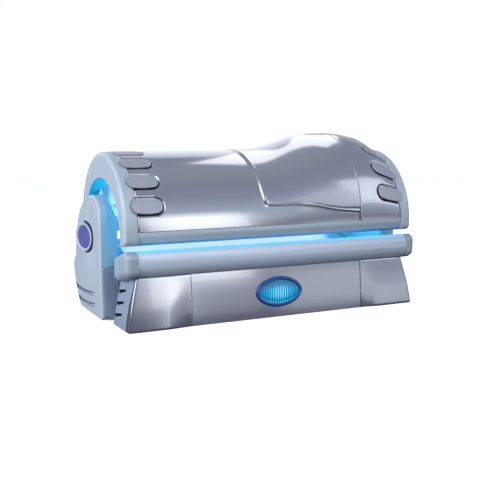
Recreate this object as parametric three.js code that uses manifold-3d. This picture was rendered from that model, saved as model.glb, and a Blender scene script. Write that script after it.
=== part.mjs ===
// A tanning bed: a half-barrel canopy that hinges on two end towers over a lamp bench.
// Millimetres, +Z up, floor at Z = 0. X runs along the bed and the front is at -Y.
import * as THREE from "three";
import { mergeVertices } from "three/addons/utils/BufferGeometryUtils.js";
import Module from "manifold-3d";

const wasm = await Module();
wasm.setup();

// Fits, walls and facets
const GAP = 0.3; // between faces that touch
const CUT = 1; // how far a cutter runs past the face it cuts
const COVER_WALL = 4; // moulded covers
const RING_WALL = 6; // canopy end rings
const SKIRT_WALL = 5; // base panels
const REFLECTOR_WALL = 2.5;
const TUBE_WALL = 4; // steel beams and posts
const LAMP_WALL = 1.5;
const ARC_STEPS = 20; // facets over a half barrel
const HUMP_STEPS = 10; // along the main shell
const RIGHT_STEPS = 9; // along the right shell
const CORNER_STEPS = 6;
const CURVE_STEPS = 6; // round the bumper's nose
const EDGE_STEPS = 4; // round the rails' lower edge
const ROUND_SIDES = 24; // pins, bushes and small round parts
const DUCT_SIDES = 32;
const SWEEP_SIDES = 40;
const ARM_STEPS = 12;
const CRANK_STEPS = 8;
const OVAL_STEPS = 32;
const LAMP_SIDES = 8;

// Along X, from the middle of the bed
const HALF_LENGTH = 1074; // to the outer face of a canopy end ring
const RING_DEPTH = 90;
const TRIM_GROOVE = 6; // between a ring and the shell, for the trim band
const RING_TO_TOWER = 11; // running gap beside the ring
const SIDE_COVER_DEPTH = 55;
const TOWER_BLOCK_DEPTH = 78;
const ARM_CLEARANCE = 4;
const ARM_THICKNESS = 13;
const BENCH_CLEARANCE = 5; // between a hinge arm and the bench
const PLATE_INSET = 17; // end plates of the bench pan
const PLATE_THICKNESS = 8;
const PLATE_MARGIN = 2; // end plates inside the bench sheet's edges
const PAN_MARGIN = 4;
const BASE_TOP_INSET = 74; // base end at its top, inboard of the ring face
const BASE_FLARE = 58; // each end spreads this far down to the floor
const BUMPER_SEAM_INSET = 76; // where the bumper meets its end cap
const CAP_INSET = 4; // outer face of a bumper cap, inboard of the ring face
const CORNER_PANEL_LENGTH = 433; // skirt seam to the ring face
const RIGHT_SHELL_LENGTH = 337;
const HUMP_FALL_LENGTH = 414; // hump peak to the right ring
const HUMP_RISE_LENGTH = 675;
const LAMP_INSET = 98; // lamp ends, inboard of the shell end

// Heights
const BASE_HEIGHT = 336;
const SKIRT_CLEARANCE = 10; // under the skirt
const BUMPER_HEIGHT = 152;
const BUMPER_RIDGE = 120; // lip line above the bumper's underside
const SLIT_HEIGHT = 40; // between bench and closed canopy
const RAIL_HEIGHT = 85;
const ARCH_SPRING = 61; // centre of the canopy arch above the rail's underside
const ARCH_EXTRA = 29; // the arch rises this much more than its half depth
const HUMP_RISE = 120;
const OPENING_RISE = 4; // centre of the end opening above the rail's underside
const HINGE_RISE = 1; // hinge axis above the rail's underside
const TOWER_TOP_GAP = 105; // tower top under the crown of the end opening
const TOWER_CLEARANCE = 28; // under a tower
const LEDGE_RISE = 30; // tower ledge above the base

// Depths along Y
const CANOPY_MIDDLE = 25;
const CANOPY_HALF_DEPTH = 475;
const OPENING_INSET = 85; // ring width between its edge and its opening
const BUMPER_LEAD = 50; // bumper ahead of the canopy
const BUMPER_DEPTH = 60;
const SKIRT_SETBACK = 33; // skirt behind the bumper at the floor
const SKIRT_LEAN = 24;
const BASE_SETBACK = 175; // base ahead of the canopy's rear
const BENCH_RAIL_DEPTH = 25;
const REAR_RAIL_DROP = 3; // top of the rear rail below the bumper top
const HINGE_SETBACK = 331; // hinge axis ahead of the canopy's rear
const TOWER_FRONT_GAP = 200; // tower front behind the front of the end opening
const TOWER_SPREAD = 19; // tower front leans out this far at the floor
const FOOT_COVER_OVERHANG = 5; // behind the base
const FOOT_COVER_GAP = 6; // beside the hinge arm

// Base frame and skirt
const BEAM_WIDTH = 50;
const BEAM_HEIGHT = 50;
const CROSS_WIDTH = 60;
const FOOT_HEIGHT = 45;
const FOOT_PAD_RADIUS = 28;
const FOOT_PAD_HEIGHT = 12;
const FOOT_STEM_RADIUS = 10;
const CORNER_RADIUS = 40;
const CORNER_RUN = 48; // corner panel wraps this far round the end
const SEAM_RECESS = 10; // corner panels sit behind the centre panel at the seam
const RECESS_SHARE = 0.5; // of the corner panel's length, where the recess ends
const VENT_COUNT = 3;
const VENT_PITCH = 75;
const VENT_FIRST = 73;
const VENT_HEIGHT = 18;
const VENT_FROM = 0.385; // share of the end panel's length
const VENT_TO = 0.913;
const END_PANEL_GAP = 22; // ahead of the tower
const LENS_HALF_WIDTH = 150;
const LENS_HALF_HEIGHT = 80;
const LENS_POINT = 1.85; // power of the oval: 2 is a plain ellipse
const LENS_HEIGHT = 172; // of its middle, above the floor
const LENS_PROUD = 9;
const LENS_THICKNESS = 12;
const LENS_PLAY = 3; // round the lens in its panel
const BEZEL_WIDTH = 26;
const BEZEL_PROUD = 14;
const GLAND_INSET = 376; // inboard of the left ring's face
const GLAND_HEIGHT = 120;
const GLAND_FLANGE = { radius: 26, reach: 6 };
const GLAND_NOSE = { radius: 15, reach: 26 };
const GLAND_BORE_RADIUS = 7;

// Bumper and its end caps
const NOSE_UNDERCUT = 30;
const NOSE_RISE = 54;
const LIP_DEPTH = 45;
const BUMPER_FACE_WALL = 18;
const BUMPER_EDGE_WALL = 12;
const LEDGE_REACH = 22; // carries the bench sheet
const LEDGE_THICKNESS = 7;
const CAP_TOWER_GAP = 65; // cap ends this far ahead of the tower
const CAP_PEAK_RISE = 12;
const CAP_FALL = 53; // cap top falls this far at its rear
const CAP_EASE = 12; // rounding of the cap's long edges
const CAP_NOSE = 40;
const CAP_HEEL = 30;
const CAP_PEAK_SETBACK = 62;
const CAP_CORNER = 60;

// Bench and lamps
const BENCH_SAG = 75;
const BENCH_SHEET = 5;
const BENCH_EDGE_DROP = 18; // edge of the bench sheet below the bumper top
const BENCH_STEPS = 24;
const SHEET_REVEAL = 10; // between bumper and bench sheet
const SHEET_INSET = 8; // sheet's ends inside the bench's
const LAMP_RADIUS = 19;
const CANOPY_LAMPS = 12;
const LAMP_OVER_RAIL = 18.5; // lowest canopy lamp above the rail
const BENCH_LAMPS = 9;
const BENCH_LAMP_MARGIN = 50;
const LAMP_UNDER_SHEET = 10;
const LAMP_OVER_PAN = 12;
const HOLDER_THICKNESS = 12;
const HOLDER_GRIP = 4; // holder overlaps the lamp ends
const HOLDER_MARGIN = 30;
const HOLDER_PLAY = 2;
const SHIELD_RECESS = 12; // behind the ring's opening
const SHIELD_THICKNESS = 4;
const SHIELD_TO_LAMP = 5;
const LAMP_TO_REFLECTOR = 3;
const TRAY_HALF_LENGTH = 300;
const TRAY_THICKNESS = 4;
const BALLAST_PLACES = [-200, -70, 70, 200];
const BALLAST = { halfLength: 45, halfDepth: 90, height: 60 };

// Fan in the bench end
const FAN_SIZE = 160;
const FAN_RADIUS = 70;
const FAN_DEPTH = 44;
const FAN_SETBACK = 155; // fan axis behind the front beam's face
const FAN_BLADES = 6;
const FAN_BLADE = { width: 22, thickness: 3, pitch: 0.6, tipGap: 2, rootRadius: 12 };
const FAN_HUB_RADIUS = 20;
const FAN_MOTOR = { radius: 22, depth: 16 };
const FAN_BAR = { width: 10, depth: 6 };

// Tower outline: distance behind the hinge, then share of the ledge height or of the rise above it.
// The crown's first figure is a share of the tower's reach ahead of the hinge.
const TOWER_HEEL = 170;
const TOWER_LOWER = [[231, 0.213], [295, 0.479], [325, 0.775], [321, 0.923]];
const TOWER_SHOULDER = [267, 13]; // behind the hinge, above the ledge
const TOWER_UPPER = [[251, 0.253], [216, 0.486], [151, 0.696], [62, 0.856], [-29, 0.956]];
const TOWER_CROWN = [[0.431, 1], [0.76, 0.958], [0.949, 0.818], [1, 0.608]];

// Hinge, lift and cap
const PIN_RADIUS = 16;
const BUSH_WALL = 8;
const SWING_MARGIN = 12; // tower parts inside the ring keep this far from its sweep
const POST_OFFSET = 13; // post behind the tower's inner face
const POST_THICKNESS = 40;
const POST_HALF_DEPTH = 45;
const POST_ABOVE_HINGE = 50;
const GUSSET_HALF_DEPTH = 60;
const COVER_BAR = { offset: 2, thickness: 10, below: 20, above: 24 };
const CRANK_RADIUS = 60;
const CRANK_REST = 20; // degrees below level with the canopy closed
const CRANK_HUB_RADIUS = 24;
const CRANK_EYE_RADIUS = 13;
const CRANK_CLEARANCE = 6;
const CRANK_THICKNESS = 12;
const CRANK_PIN_RADIUS = 5;
const ARM_HUB_RADIUS = 48;
const ARM_HUB_FROM = 120; // degrees round the hinge
const ARM_HUB_TO = 330;
const ARM_FOOT_FROM = 15; // degrees round the opening
const ARM_FOOT_TO = 52.5;
const SPRING_OFFSET = 12;
const SPRING_RADIUS = 14;
const SPRING_DROP = 330; // foot of the cylinder below the hinge
const SPRING_LENGTH = 220;
const SPRING_FLOOR = 8;
const ROD_RADIUS = 5;
const ROD_EYE = { radius: 14, hole: 8.5, half: 5 };
const CAP_RADIUS = 80;
const CAP_RING_WALL = 14;
const CAP_HOLE_RADIUS = 110;
const CAP_PROUD = 14;
const CAP_FLANGE = { overlap: 8, thickness: 5 };
const CAP_DOME = { seat: 8, edge: 18, shoulder: 22, shoulderShare: 0.6, height: 24 };
const CAP_SIDES = 32;

// Finger pads round each end of the canopy
const PAD_LENGTH = 223;
const PAD_WIDTH = 114;
const PAD_PROUD = 9;
const PAD_LIFT = 0.8; // under the pads
const PAD_ON_RING = 48;
const PADS_PER_END = 8;
const PAD_PITCH = 18.8; // degrees
const PAD_STEPS = 6;

// Control pod on the front rail
const POD = { from: 250, to: 400, depth: 17, below: 7, above: 13 };
const BUTTON = { place: 325, rise: 40, radius: 14, proud: 6, pocket: 11 };
const RAIL_ROUND = 40; // lower outer edge of rails and rings
const RAIL_OVERLAP = 3; // rails reach inside the ring's opening

// Places that follow from the sizes above
const ringInner = HALF_LENGTH - RING_DEPTH;
const shellEnd = ringInner - TRIM_GROOVE;
const towerSplit = HALF_LENGTH + RING_TO_TOWER;
const towerOuter = towerSplit + SIDE_COVER_DEPTH;
const towerInner = towerSplit - TOWER_BLOCK_DEPTH;
const armOuter = towerInner - ARM_CLEARANCE;
const armInner = armOuter - ARM_THICKNESS;
const benchEnd = armInner - BENCH_CLEARANCE;
const plateOuter = benchEnd - PLATE_INSET;
const plateInner = plateOuter - PLATE_THICKNESS;
const lampHalf = shellEnd - LAMP_INSET;
const skirtSeam = HALF_LENGTH - CORNER_PANEL_LENGTH;
const shellSeam = shellEnd - RIGHT_SHELL_LENGTH;
const humpPeak = ringInner - HUMP_FALL_LENGTH;
const humpStart = humpPeak - HUMP_RISE_LENGTH;
const beamTop = FOOT_HEIGHT + BEAM_HEIGHT;
const bumperTop = BASE_HEIGHT + BUMPER_HEIGHT;
const railBottom = bumperTop + SLIT_HEIGHT;
const railTop = railBottom + RAIL_HEIGHT;
const archCentre = railBottom + ARCH_SPRING;
const archRise = CANOPY_HALF_DEPTH + ARCH_EXTRA;
const openingCentre = railBottom + OPENING_RISE;
const openingRadius = CANOPY_HALF_DEPTH - OPENING_INSET;
const canopyFront = CANOPY_MIDDLE - CANOPY_HALF_DEPTH;
const canopyRear = CANOPY_MIDDLE + CANOPY_HALF_DEPTH;
const bumperFront = canopyFront - BUMPER_LEAD;
const bumperBack = bumperFront + BUMPER_DEPTH;
const skirtFront = bumperFront + SKIRT_SETBACK;
const baseRear = canopyRear - BASE_SETBACK;
const panelInside = baseRear - SKIRT_WALL - GAP;
const hinge = { y: canopyRear - HINGE_SETBACK, z: railBottom + HINGE_RISE };
const towerFront = CANOPY_MIDDLE - openingRadius + TOWER_FRONT_GAP;
const towerLedge = BASE_HEIGHT + LEDGE_RISE;
const towerTop = openingCentre + openingRadius - TOWER_TOP_GAP;
const swingRadius = CANOPY_MIDDLE + openingRadius - hinge.y - SWING_MARGIN;
const shieldInner = openingRadius + SHIELD_RECESS;
const shieldOuter = shieldInner + SHIELD_THICKNESS;
const lampCircle = shieldOuter + SHIELD_TO_LAMP + LAMP_RADIUS;
const reflectorInner = lampCircle + LAMP_RADIUS + LAMP_TO_REFLECTOR;
const railBack = CANOPY_MIDDLE - openingRadius + RAIL_OVERLAP;

const silver = new THREE.MeshStandardMaterial({ color: 0xb0b2be, roughness: 0.28, metalness: 0.6 });
const satinGrey = new THREE.MeshStandardMaterial({ color: 0xb3bcc9, roughness: 0.45, metalness: 0.1 });
const padGrey = new THREE.MeshStandardMaterial({ color: 0x9da2b0, roughness: 0.5, metalness: 0.1 });
const steel = new THREE.MeshStandardMaterial({ color: 0x8a8f96, roughness: 0.5, metalness: 0.8 });
const aluminium = new THREE.MeshStandardMaterial({ color: 0xd7dade, roughness: 0.2, metalness: 0.9 });
const acrylic = new THREE.MeshStandardMaterial({ color: 0xcdeefa, roughness: 0.08, metalness: 0 });
const lampGlass = new THREE.MeshStandardMaterial({ color: 0xdff4ff, roughness: 0.3, metalness: 0 });
const blackPlastic = new THREE.MeshStandardMaterial({ color: 0x1d1f24, roughness: 0.6, metalness: 0 });
const purplePlastic = new THREE.MeshStandardMaterial({ color: 0x5f5aa0, roughness: 0.4, metalness: 0 });
const bezelBlue = new THREE.MeshStandardMaterial({ color: 0x3158a8, roughness: 0.2, metalness: 0.2 });
const lensCyan = new THREE.MeshStandardMaterial({ color: 0x3cbeeb, roughness: 0.15, metalness: 0 });

const bed = new THREE.Group();

// A closed geometry as a solid that faces outwards
function solidOf(geometry) {
  const bare = geometry.index ? geometry.toNonIndexed() : geometry.clone();
  bare.deleteAttribute("normal");
  bare.deleteAttribute("uv");
  const merged = mergeVertices(bare, 1e-4);
  const vertProperties = merged.attributes.position.array;
  const triVerts = new Uint32Array(merged.index.array);
  const made = new wasm.Manifold(new wasm.Mesh({ numProp: 3, vertProperties, triVerts }));
  if (made.volume() > 0) return made;
  triVerts.reverse();
  return new wasm.Manifold(new wasm.Mesh({ numProp: 3, vertProperties, triVerts }));
}

function addPart(group, name, solid, material) {
  const made = solid.getMesh();
  const geometry = new THREE.BufferGeometry();
  geometry.setAttribute("position", new THREE.BufferAttribute(made.vertProperties, 3));
  geometry.setIndex(new THREE.BufferAttribute(made.triVerts, 1));
  geometry.computeVertexNormals();
  const mesh = new THREE.Mesh(geometry, material);
  mesh.name = name;
  group.add(mesh);
}

function joined(solids) {
  return solids.reduce((whole, next) => whole.add(next));
}

function block(x0, x1, y0, y1, z0, z1) {
  const geometry = new THREE.BoxGeometry(x1 - x0, y1 - y0, z1 - z0);
  geometry.translate((x0 + x1) / 2, (y0 + y1) / 2, (z0 + z1) / 2);
  return solidOf(geometry);
}

function shapeOf(points) {
  return new THREE.Shape(points.map(([a, b]) => new THREE.Vector2(a, b)));
}

function extruded(outline, depth) {
  const shape = outline instanceof THREE.Shape ? outline : shapeOf(outline);
  return new THREE.ExtrudeGeometry(shape, { depth, bevelEnabled: false, curveSegments: CURVE_STEPS });
}

// An outline in Y and Z carried along X
function prismX(outline, x0, x1) {
  const turn = new THREE.Matrix4().set(0, 0, 1, x0, 1, 0, 0, 0, 0, 1, 0, 0, 0, 0, 0, 1);
  return solidOf(extruded(outline, x1 - x0).applyMatrix4(turn));
}

// An outline in X and Z carried along Y
function prismY(outline, y0, y1) {
  const turn = new THREE.Matrix4().set(1, 0, 0, 0, 0, 0, -1, y1, 0, 1, 0, 0, 0, 0, 0, 1);
  return solidOf(extruded(outline, y1 - y0).applyMatrix4(turn));
}

// An outline in X and Y carried along Z
function prismZ(outline, z0, z1) {
  return solidOf(extruded(outline, z1 - z0).translate(0, 0, z0));
}

function rodX(radius, x0, x1, { y, z }, sides = ROUND_SIDES) {
  const geometry = new THREE.CylinderGeometry(radius, radius, x1 - x0, sides);
  geometry.rotateZ(Math.PI / 2);
  geometry.translate((x0 + x1) / 2, y, z);
  return solidOf(geometry);
}

function rodY(radius, y0, y1, { x, z }, sides = ROUND_SIDES) {
  const geometry = new THREE.CylinderGeometry(radius, radius, y1 - y0, sides);
  geometry.translate(x, (y0 + y1) / 2, z);
  return solidOf(geometry);
}

function rodZ(radius, z0, z1, { x, y }, sides = ROUND_SIDES) {
  const geometry = new THREE.CylinderGeometry(radius, radius, z1 - z0, sides);
  geometry.rotateX(Math.PI / 2);
  geometry.translate(x, y, (z0 + z1) / 2);
  return solidOf(geometry);
}

// Points of an ellipse arc, in degrees from the first axis towards the second
function arc(centreA, centreB, radiusA, radiusB, from, to, steps) {
  return Array.from({ length: steps + 1 }, (_, i) => {
    const angle = THREE.MathUtils.degToRad(from + ((to - from) * i) / steps);
    return [centreA + radiusA * Math.cos(angle), centreB + radiusB * Math.sin(angle)];
  });
}

// An outline drawn in by a wall, each corner along its bisector
function drawnIn(outline, wall) {
  const area = THREE.ShapeUtils.area(outline.map(([a, b]) => new THREE.Vector2(a, b)));
  return outline.map(([y, z], i) => {
    const before = outline[(i + outline.length - 1) % outline.length];
    const after = outline[(i + 1) % outline.length];
    const intoIt = new THREE.Vector2(y - before[0], z - before[1]).normalize();
    const outOfIt = new THREE.Vector2(after[0] - y, after[1] - z).normalize();
    const side = new THREE.Vector2(-intoIt.y - outOfIt.y, intoIt.x + outOfIt.x).normalize();
    const spread = Math.max(0.5, side.x * -intoIt.y + side.y * intoIt.x);
    const reach = (wall * Math.sign(area)) / spread;
    return [y + side.x * reach, z + side.y * reach];
  });
}

// Rings of points with equal counts skinned in order, with flat ends
function loft(rings, flatten) {
  const count = rings[0].length;
  const faces = [];
  for (let r = 0; r + 1 < rings.length; r++) {
    for (let i = 0; i < count; i++) {
      const a = r * count + i;
      const b = r * count + ((i + 1) % count);
      faces.push(a, b, b + count, a, b + count, a + count);
    }
  }
  const capEnd = (start, ring, flip) => {
    const flat = ring.map((p) => new THREE.Vector2(...flatten(p)));
    const turn = Math.sign(THREE.ShapeUtils.area(flat));
    for (const [a, b, c] of THREE.ShapeUtils.triangulateShape(flat, [])) {
      const same = Math.sign(THREE.ShapeUtils.area([flat[a], flat[b], flat[c]])) === turn;
      if (same === flip) faces.push(start + a, start + c, start + b);
      else faces.push(start + a, start + b, start + c);
    }
  };
  capEnd(0, rings[0], true);
  capEnd((rings.length - 1) * count, rings.at(-1), false);
  const geometry = new THREE.BufferGeometry();
  geometry.setAttribute("position", new THREE.Float32BufferAttribute(rings.flat(2), 3));
  geometry.setIndex(faces);
  return solidOf(geometry);
}

// Skirt face at a height: the front leans back and the ends flare out to the floor
function frontOf(z) {
  return skirtFront + (SKIRT_LEAN * z) / BASE_HEIGHT;
}

function endOf(z) {
  return HALF_LENGTH - BASE_TOP_INSET + BASE_FLARE * (1 - z / BASE_HEIGHT);
}

// Base: two long beams between two cross beams, each cross beam on two levelling feet
const beamFront = frontOf(beamTop) + SKIRT_WALL + SEAM_RECESS + GAP;
const crossInner = benchEnd - CROSS_WIDTH;

// A square tube along X, open at its ends
function beamX(half, y) {
  const bottom = FOOT_HEIGHT + TUBE_WALL;
  const top = beamTop - TUBE_WALL;
  const far = y + BEAM_WIDTH;
  const hollow = block(-half - CUT, half + CUT, y + TUBE_WALL, far - TUBE_WALL, bottom, top);
  return block(-half, half, y, far, FOOT_HEIGHT, beamTop).subtract(hollow);
}

// A square tube along Y, open at its ends
function beamY(x) {
  const bottom = FOOT_HEIGHT + TUBE_WALL;
  const top = beamTop - TUBE_WALL;
  const far = x + CROSS_WIDTH;
  const hollow = block(x + TUBE_WALL, far - TUBE_WALL, beamFront - CUT, panelInside + CUT, bottom, top);
  return block(x, far, beamFront, panelInside, FOOT_HEIGHT, beamTop).subtract(hollow);
}

function buildBase() {
  addPart(bed, "base_beam_front", beamX(crossInner - GAP, beamFront), steel);
  addPart(bed, "base_beam_rear", beamX(crossInner - GAP, panelInside - BEAM_WIDTH), steel);
  for (const [side, sign] of [["left", -1], ["right", 1]]) {
    const near = Math.min(sign * crossInner, sign * benchEnd);
    addPart(bed, `base_cross_${side}`, beamY(near), steel);
    const x = near + CROSS_WIDTH / 2;
    const feet = { front: beamFront + BEAM_WIDTH, rear: panelInside - BEAM_WIDTH };
    for (const [end, y] of Object.entries(feet)) {
      const pad = rodZ(FOOT_PAD_RADIUS, 0, FOOT_PAD_HEIGHT, { x, y });
      const stem = rodZ(FOOT_STEM_RADIUS, FOOT_PAD_HEIGHT - CUT, FOOT_HEIGHT - GAP, { x, y });
      addPart(bed, `levelling_foot_${end}_${side}`, pad.add(stem), blackPlastic);
    }
  }
}

// Skirt: a flat centre panel, curved corner panels and end panels with vents
const skirtTop = BASE_HEIGHT - GAP;
const cornerEnd = skirtFront + SKIRT_LEAN + CORNER_RUN;

function cornerPlan(z, inset) {
  const front = frontOf(z) + inset;
  const run = endOf(z) - CORNER_RADIUS;
  const radius = CORNER_RADIUS - inset;
  const along = stations(0, 1, CORNER_STEPS).map((share) => {
    const x = THREE.MathUtils.lerp(skirtSeam + GAP / 2, run, share);
    const recess = SEAM_RECESS * (1 - THREE.MathUtils.smoothstep(share, 0, RECESS_SHARE));
    return [-x, front + recess, z];
  });
  const round = arc(-run, frontOf(z) + CORNER_RADIUS, radius, radius, 270, 180, CORNER_STEPS);
  const wrap = round.slice(1).map(([x, y]) => [x, y, z]);
  return [...along, ...wrap, [inset - endOf(z), cornerEnd, z]];
}

function cornerPanel() {
  const rings = [SKIRT_CLEARANCE, skirtTop].map((z) => [
    ...cornerPlan(z, 0),
    ...cornerPlan(z, SKIRT_WALL).reverse(),
  ]);
  return loft(rings, ([x, y]) => [x, y]);
}

function endPanel() {
  const front = cornerEnd + GAP;
  const rear = towerFront - END_PANEL_GAP;
  const rings = [SKIRT_CLEARANCE, skirtTop].map((z) => [
    [-endOf(z), front, z],
    [-endOf(z), rear, z],
    [SKIRT_WALL - endOf(z), rear, z],
    [SKIRT_WALL - endOf(z), front, z],
  ]);
  const ventFront = THREE.MathUtils.lerp(front, rear, VENT_FROM);
  const ventRear = THREE.MathUtils.lerp(front, rear, VENT_TO);
  const outside = endOf(0) + CUT;
  const inside = endOf(BASE_HEIGHT) - SKIRT_WALL - CUT;
  let panel = loft(rings, ([x, y]) => [x, y]);
  for (let i = 0; i < VENT_COUNT; i++) {
    const z = VENT_FIRST + i * VENT_PITCH - VENT_HEIGHT / 2;
    panel = panel.subtract(block(-outside, -inside, ventFront, ventRear, z, z + VENT_HEIGHT));
  }
  return panel;
}

// The oval of the lens, a little pointed at its ends
function oval(halfWidth, halfHeight) {
  return Array.from({ length: OVAL_STEPS }, (_, i) => {
    const c = Math.cos((2 * Math.PI * i) / OVAL_STEPS);
    const s = Math.sin((2 * Math.PI * i) / OVAL_STEPS);
    const across = Math.sign(c) * Math.abs(c) ** (2 / LENS_POINT);
    const up = Math.sign(s) * Math.abs(s) ** (2 / LENS_POINT);
    return [halfWidth * across, halfHeight * up];
  });
}

function buildSkirt() {
  const strip = [
    [frontOf(SKIRT_CLEARANCE), SKIRT_CLEARANCE],
    [frontOf(SKIRT_CLEARANCE) + SKIRT_WALL, SKIRT_CLEARANCE],
    [frontOf(skirtTop) + SKIRT_WALL, skirtTop],
    [frontOf(skirtTop), skirtTop],
  ];
  const mouth = oval(LENS_HALF_WIDTH + LENS_PLAY, LENS_HALF_HEIGHT + LENS_PLAY);
  const mouthPlaced = mouth.map(([x, z]) => [x, z + LENS_HEIGHT]);
  const centre = prismX(strip, GAP / 2 - skirtSeam, skirtSeam - GAP / 2);
  const hole = prismY(mouthPlaced, skirtFront - CUT, skirtFront + SKIRT_LEAN + SKIRT_WALL + CUT);
  addPart(bed, "front_panel_centre", centre.subtract(hole), silver);

  const rearHalf = armOuter - GAP;
  const rearPanel = block(-rearHalf, rearHalf, baseRear - SKIRT_WALL, baseRear, SKIRT_CLEARANCE, skirtTop);
  addPart(bed, "rear_panel", rearPanel, satinGrey);

  const lensPlace = new THREE.Group();
  lensPlace.position.set(0, frontOf(LENS_HEIGHT), LENS_HEIGHT);
  lensPlace.rotation.x = -Math.atan2(SKIRT_LEAN, BASE_HEIGHT);
  bed.add(lensPlace);
  const rimEdge = oval(LENS_HALF_WIDTH + BEZEL_WIDTH, LENS_HALF_HEIGHT + BEZEL_WIDTH);
  const rim = prismY(rimEdge, -BEZEL_PROUD, -GAP);
  const rimHole = prismY(oval(LENS_HALF_WIDTH, LENS_HALF_HEIGHT), -BEZEL_PROUD - CUT, CUT);
  addPart(lensPlace, "lens_bezel", rim.subtract(rimHole), bezelBlue);
  const lensEdge = oval(LENS_HALF_WIDTH - GAP, LENS_HALF_HEIGHT - GAP);
  const lens = prismY(lensEdge, -LENS_PROUD, LENS_THICKNESS - LENS_PROUD);
  addPart(lensPlace, "accent_lens", lens, lensCyan);

  const place = { x: GLAND_INSET - HALF_LENGTH, z: GLAND_HEIGHT };
  const flange = rodY(GLAND_FLANGE.radius, baseRear + GAP, baseRear + GLAND_FLANGE.reach, place);
  const noseFrom = baseRear + GLAND_FLANGE.reach - CUT;
  const nose = rodY(GLAND_NOSE.radius, noseFrom, baseRear + GLAND_NOSE.reach, place);
  const bore = rodY(GLAND_BORE_RADIUS, baseRear - CUT, baseRear + GLAND_NOSE.reach + CUT, place);
  addPart(bed, "mains_inlet", flange.add(nose).subtract(bore), blackPlastic);
}

// Curve of the bench sheet, between the bumper and the rear rail
const sheetEdge = bumperTop - BENCH_EDGE_DROP;
const sheetFront = bumperBack + SHEET_REVEAL;
const sheetRear = baseRear - BENCH_RAIL_DEPTH - GAP;
const sheetHalf = (sheetRear - sheetFront) / 2;
const sheetMiddle = (sheetRear + sheetFront) / 2;
const sheetRadius = (sheetHalf ** 2 + BENCH_SAG ** 2) / (2 * BENCH_SAG);
const sheetCentre = sheetEdge - BENCH_SAG + sheetRadius;
const ledgeFrom = sheetHalf - LEDGE_REACH + SHEET_REVEAL;
const ledgeDip = Math.sqrt((sheetRadius + BENCH_SHEET) ** 2 - ledgeFrom ** 2);
const ledgeTop = sheetCentre - ledgeDip - GAP;

// Bumper with a rounded nose, a lip and a ledge for the bench sheet
function noseOutline() {
  const shape = new THREE.Shape();
  shape.moveTo(bumperBack, BASE_HEIGHT);
  shape.lineTo(bumperFront + NOSE_UNDERCUT, BASE_HEIGHT);
  shape.quadraticCurveTo(bumperFront, BASE_HEIGHT, bumperFront, BASE_HEIGHT + NOSE_RISE);
  shape.lineTo(bumperFront, BASE_HEIGHT + BUMPER_RIDGE);
  shape.quadraticCurveTo(bumperFront, bumperTop, bumperFront + LIP_DEPTH, bumperTop);
  shape.lineTo(bumperBack, bumperTop);
  shape.closePath();
  return shape;
}

const bumperSeam = HALF_LENGTH - BUMPER_SEAM_INSET;

function buildBumper() {
  const run = bumperSeam - GAP / 2;
  const hollow = block(
    -run - CUT,
    run + CUT,
    bumperFront + BUMPER_FACE_WALL,
    bumperBack - COVER_WALL,
    BASE_HEIGHT + BUMPER_EDGE_WALL,
    bumperTop - BUMPER_EDGE_WALL,
  );
  const ledgeBottom = ledgeTop - LEDGE_THICKNESS;
  const ledgeStart = bumperBack - CUT;
  const ledgeHalf = plateInner - GAP;
  const ledge = block(-ledgeHalf, ledgeHalf, ledgeStart, bumperBack + LEDGE_REACH, ledgeBottom, ledgeTop);
  const bumper = prismX(noseOutline(), -run, run).subtract(hollow).add(ledge);
  addPart(bed, "front_bumper", bumper, satinGrey);

  const railFace = baseRear - BENCH_RAIL_DEPTH;
  const rail = block(-benchEnd, benchEnd, railFace, baseRear, BASE_HEIGHT, bumperTop - REAR_RAIL_DROP);
  const shelf = LEDGE_REACH - SHEET_REVEAL;
  const rearLedge = block(-ledgeHalf, ledgeHalf, railFace - shelf, railFace + CUT, ledgeBottom, ledgeTop);
  addPart(bed, "rear_bench_rail", rail.add(rearLedge), satinGrey);
}

const capRear = towerFront - CAP_TOWER_GAP;
const capOuter = HALF_LENGTH - CAP_INSET;
const capPeak = bumperTop + CAP_PEAK_RISE;

function capSide(inset) {
  const front = bumperFront + inset;
  const bottom = BASE_HEIGHT + inset;
  const rear = capRear - inset;
  return [
    [front, BASE_HEIGHT + CAP_NOSE],
    [front + CAP_EASE, bottom + CAP_EASE],
    [front + CAP_NOSE, bottom],
    [rear - CAP_NOSE, bottom],
    [rear, bottom + CAP_HEEL],
    [rear, bumperTop - CAP_FALL - inset],
    [bumperFront + CAP_PEAK_SETBACK, capPeak - inset],
    [bumperFront + CAP_NOSE, bumperTop - inset],
    [front + CAP_EASE, bumperTop - CAP_EASE - inset],
    [front, BASE_HEIGHT + BUMPER_RIDGE],
  ];
}

function capPlan(inset, inner) {
  const radius = CAP_CORNER - inset;
  const round = arc(CAP_CORNER - capOuter, bumperFront + CAP_CORNER, radius, radius, 270, 180, CORNER_STEPS);
  const back = capRear + CUT;
  return [[-inner, bumperFront + inset], ...round, [inset - capOuter, back], [-inner, back]];
}

function bumperCap() {
  const seam = bumperSeam + GAP / 2;
  const above = capPeak + CUT;
  const outside = prismX(capSide(0), -capOuter - CUT, -seam);
  const inside = prismX(capSide(COVER_WALL), -capOuter, CUT - seam);
  const whole = outside.intersect(prismZ(capPlan(0, seam), 0, above));
  return whole.subtract(inside.intersect(prismZ(capPlan(COVER_WALL, seam - CUT), 0, above)));
}

// Bench: a curved sheet over a bank of lamps in a reflector pan
const sheetUnder = sheetRadius + BENCH_SHEET;
const benchLampRadius = sheetUnder + LAMP_UNDER_SHEET + LAMP_RADIUS;
const panRadius = benchLampRadius + LAMP_RADIUS + LAMP_OVER_PAN;
const fanMiddle = { y: beamFront + FAN_SETBACK, z: beamTop + GAP + FAN_SIZE / 2 };

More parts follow.
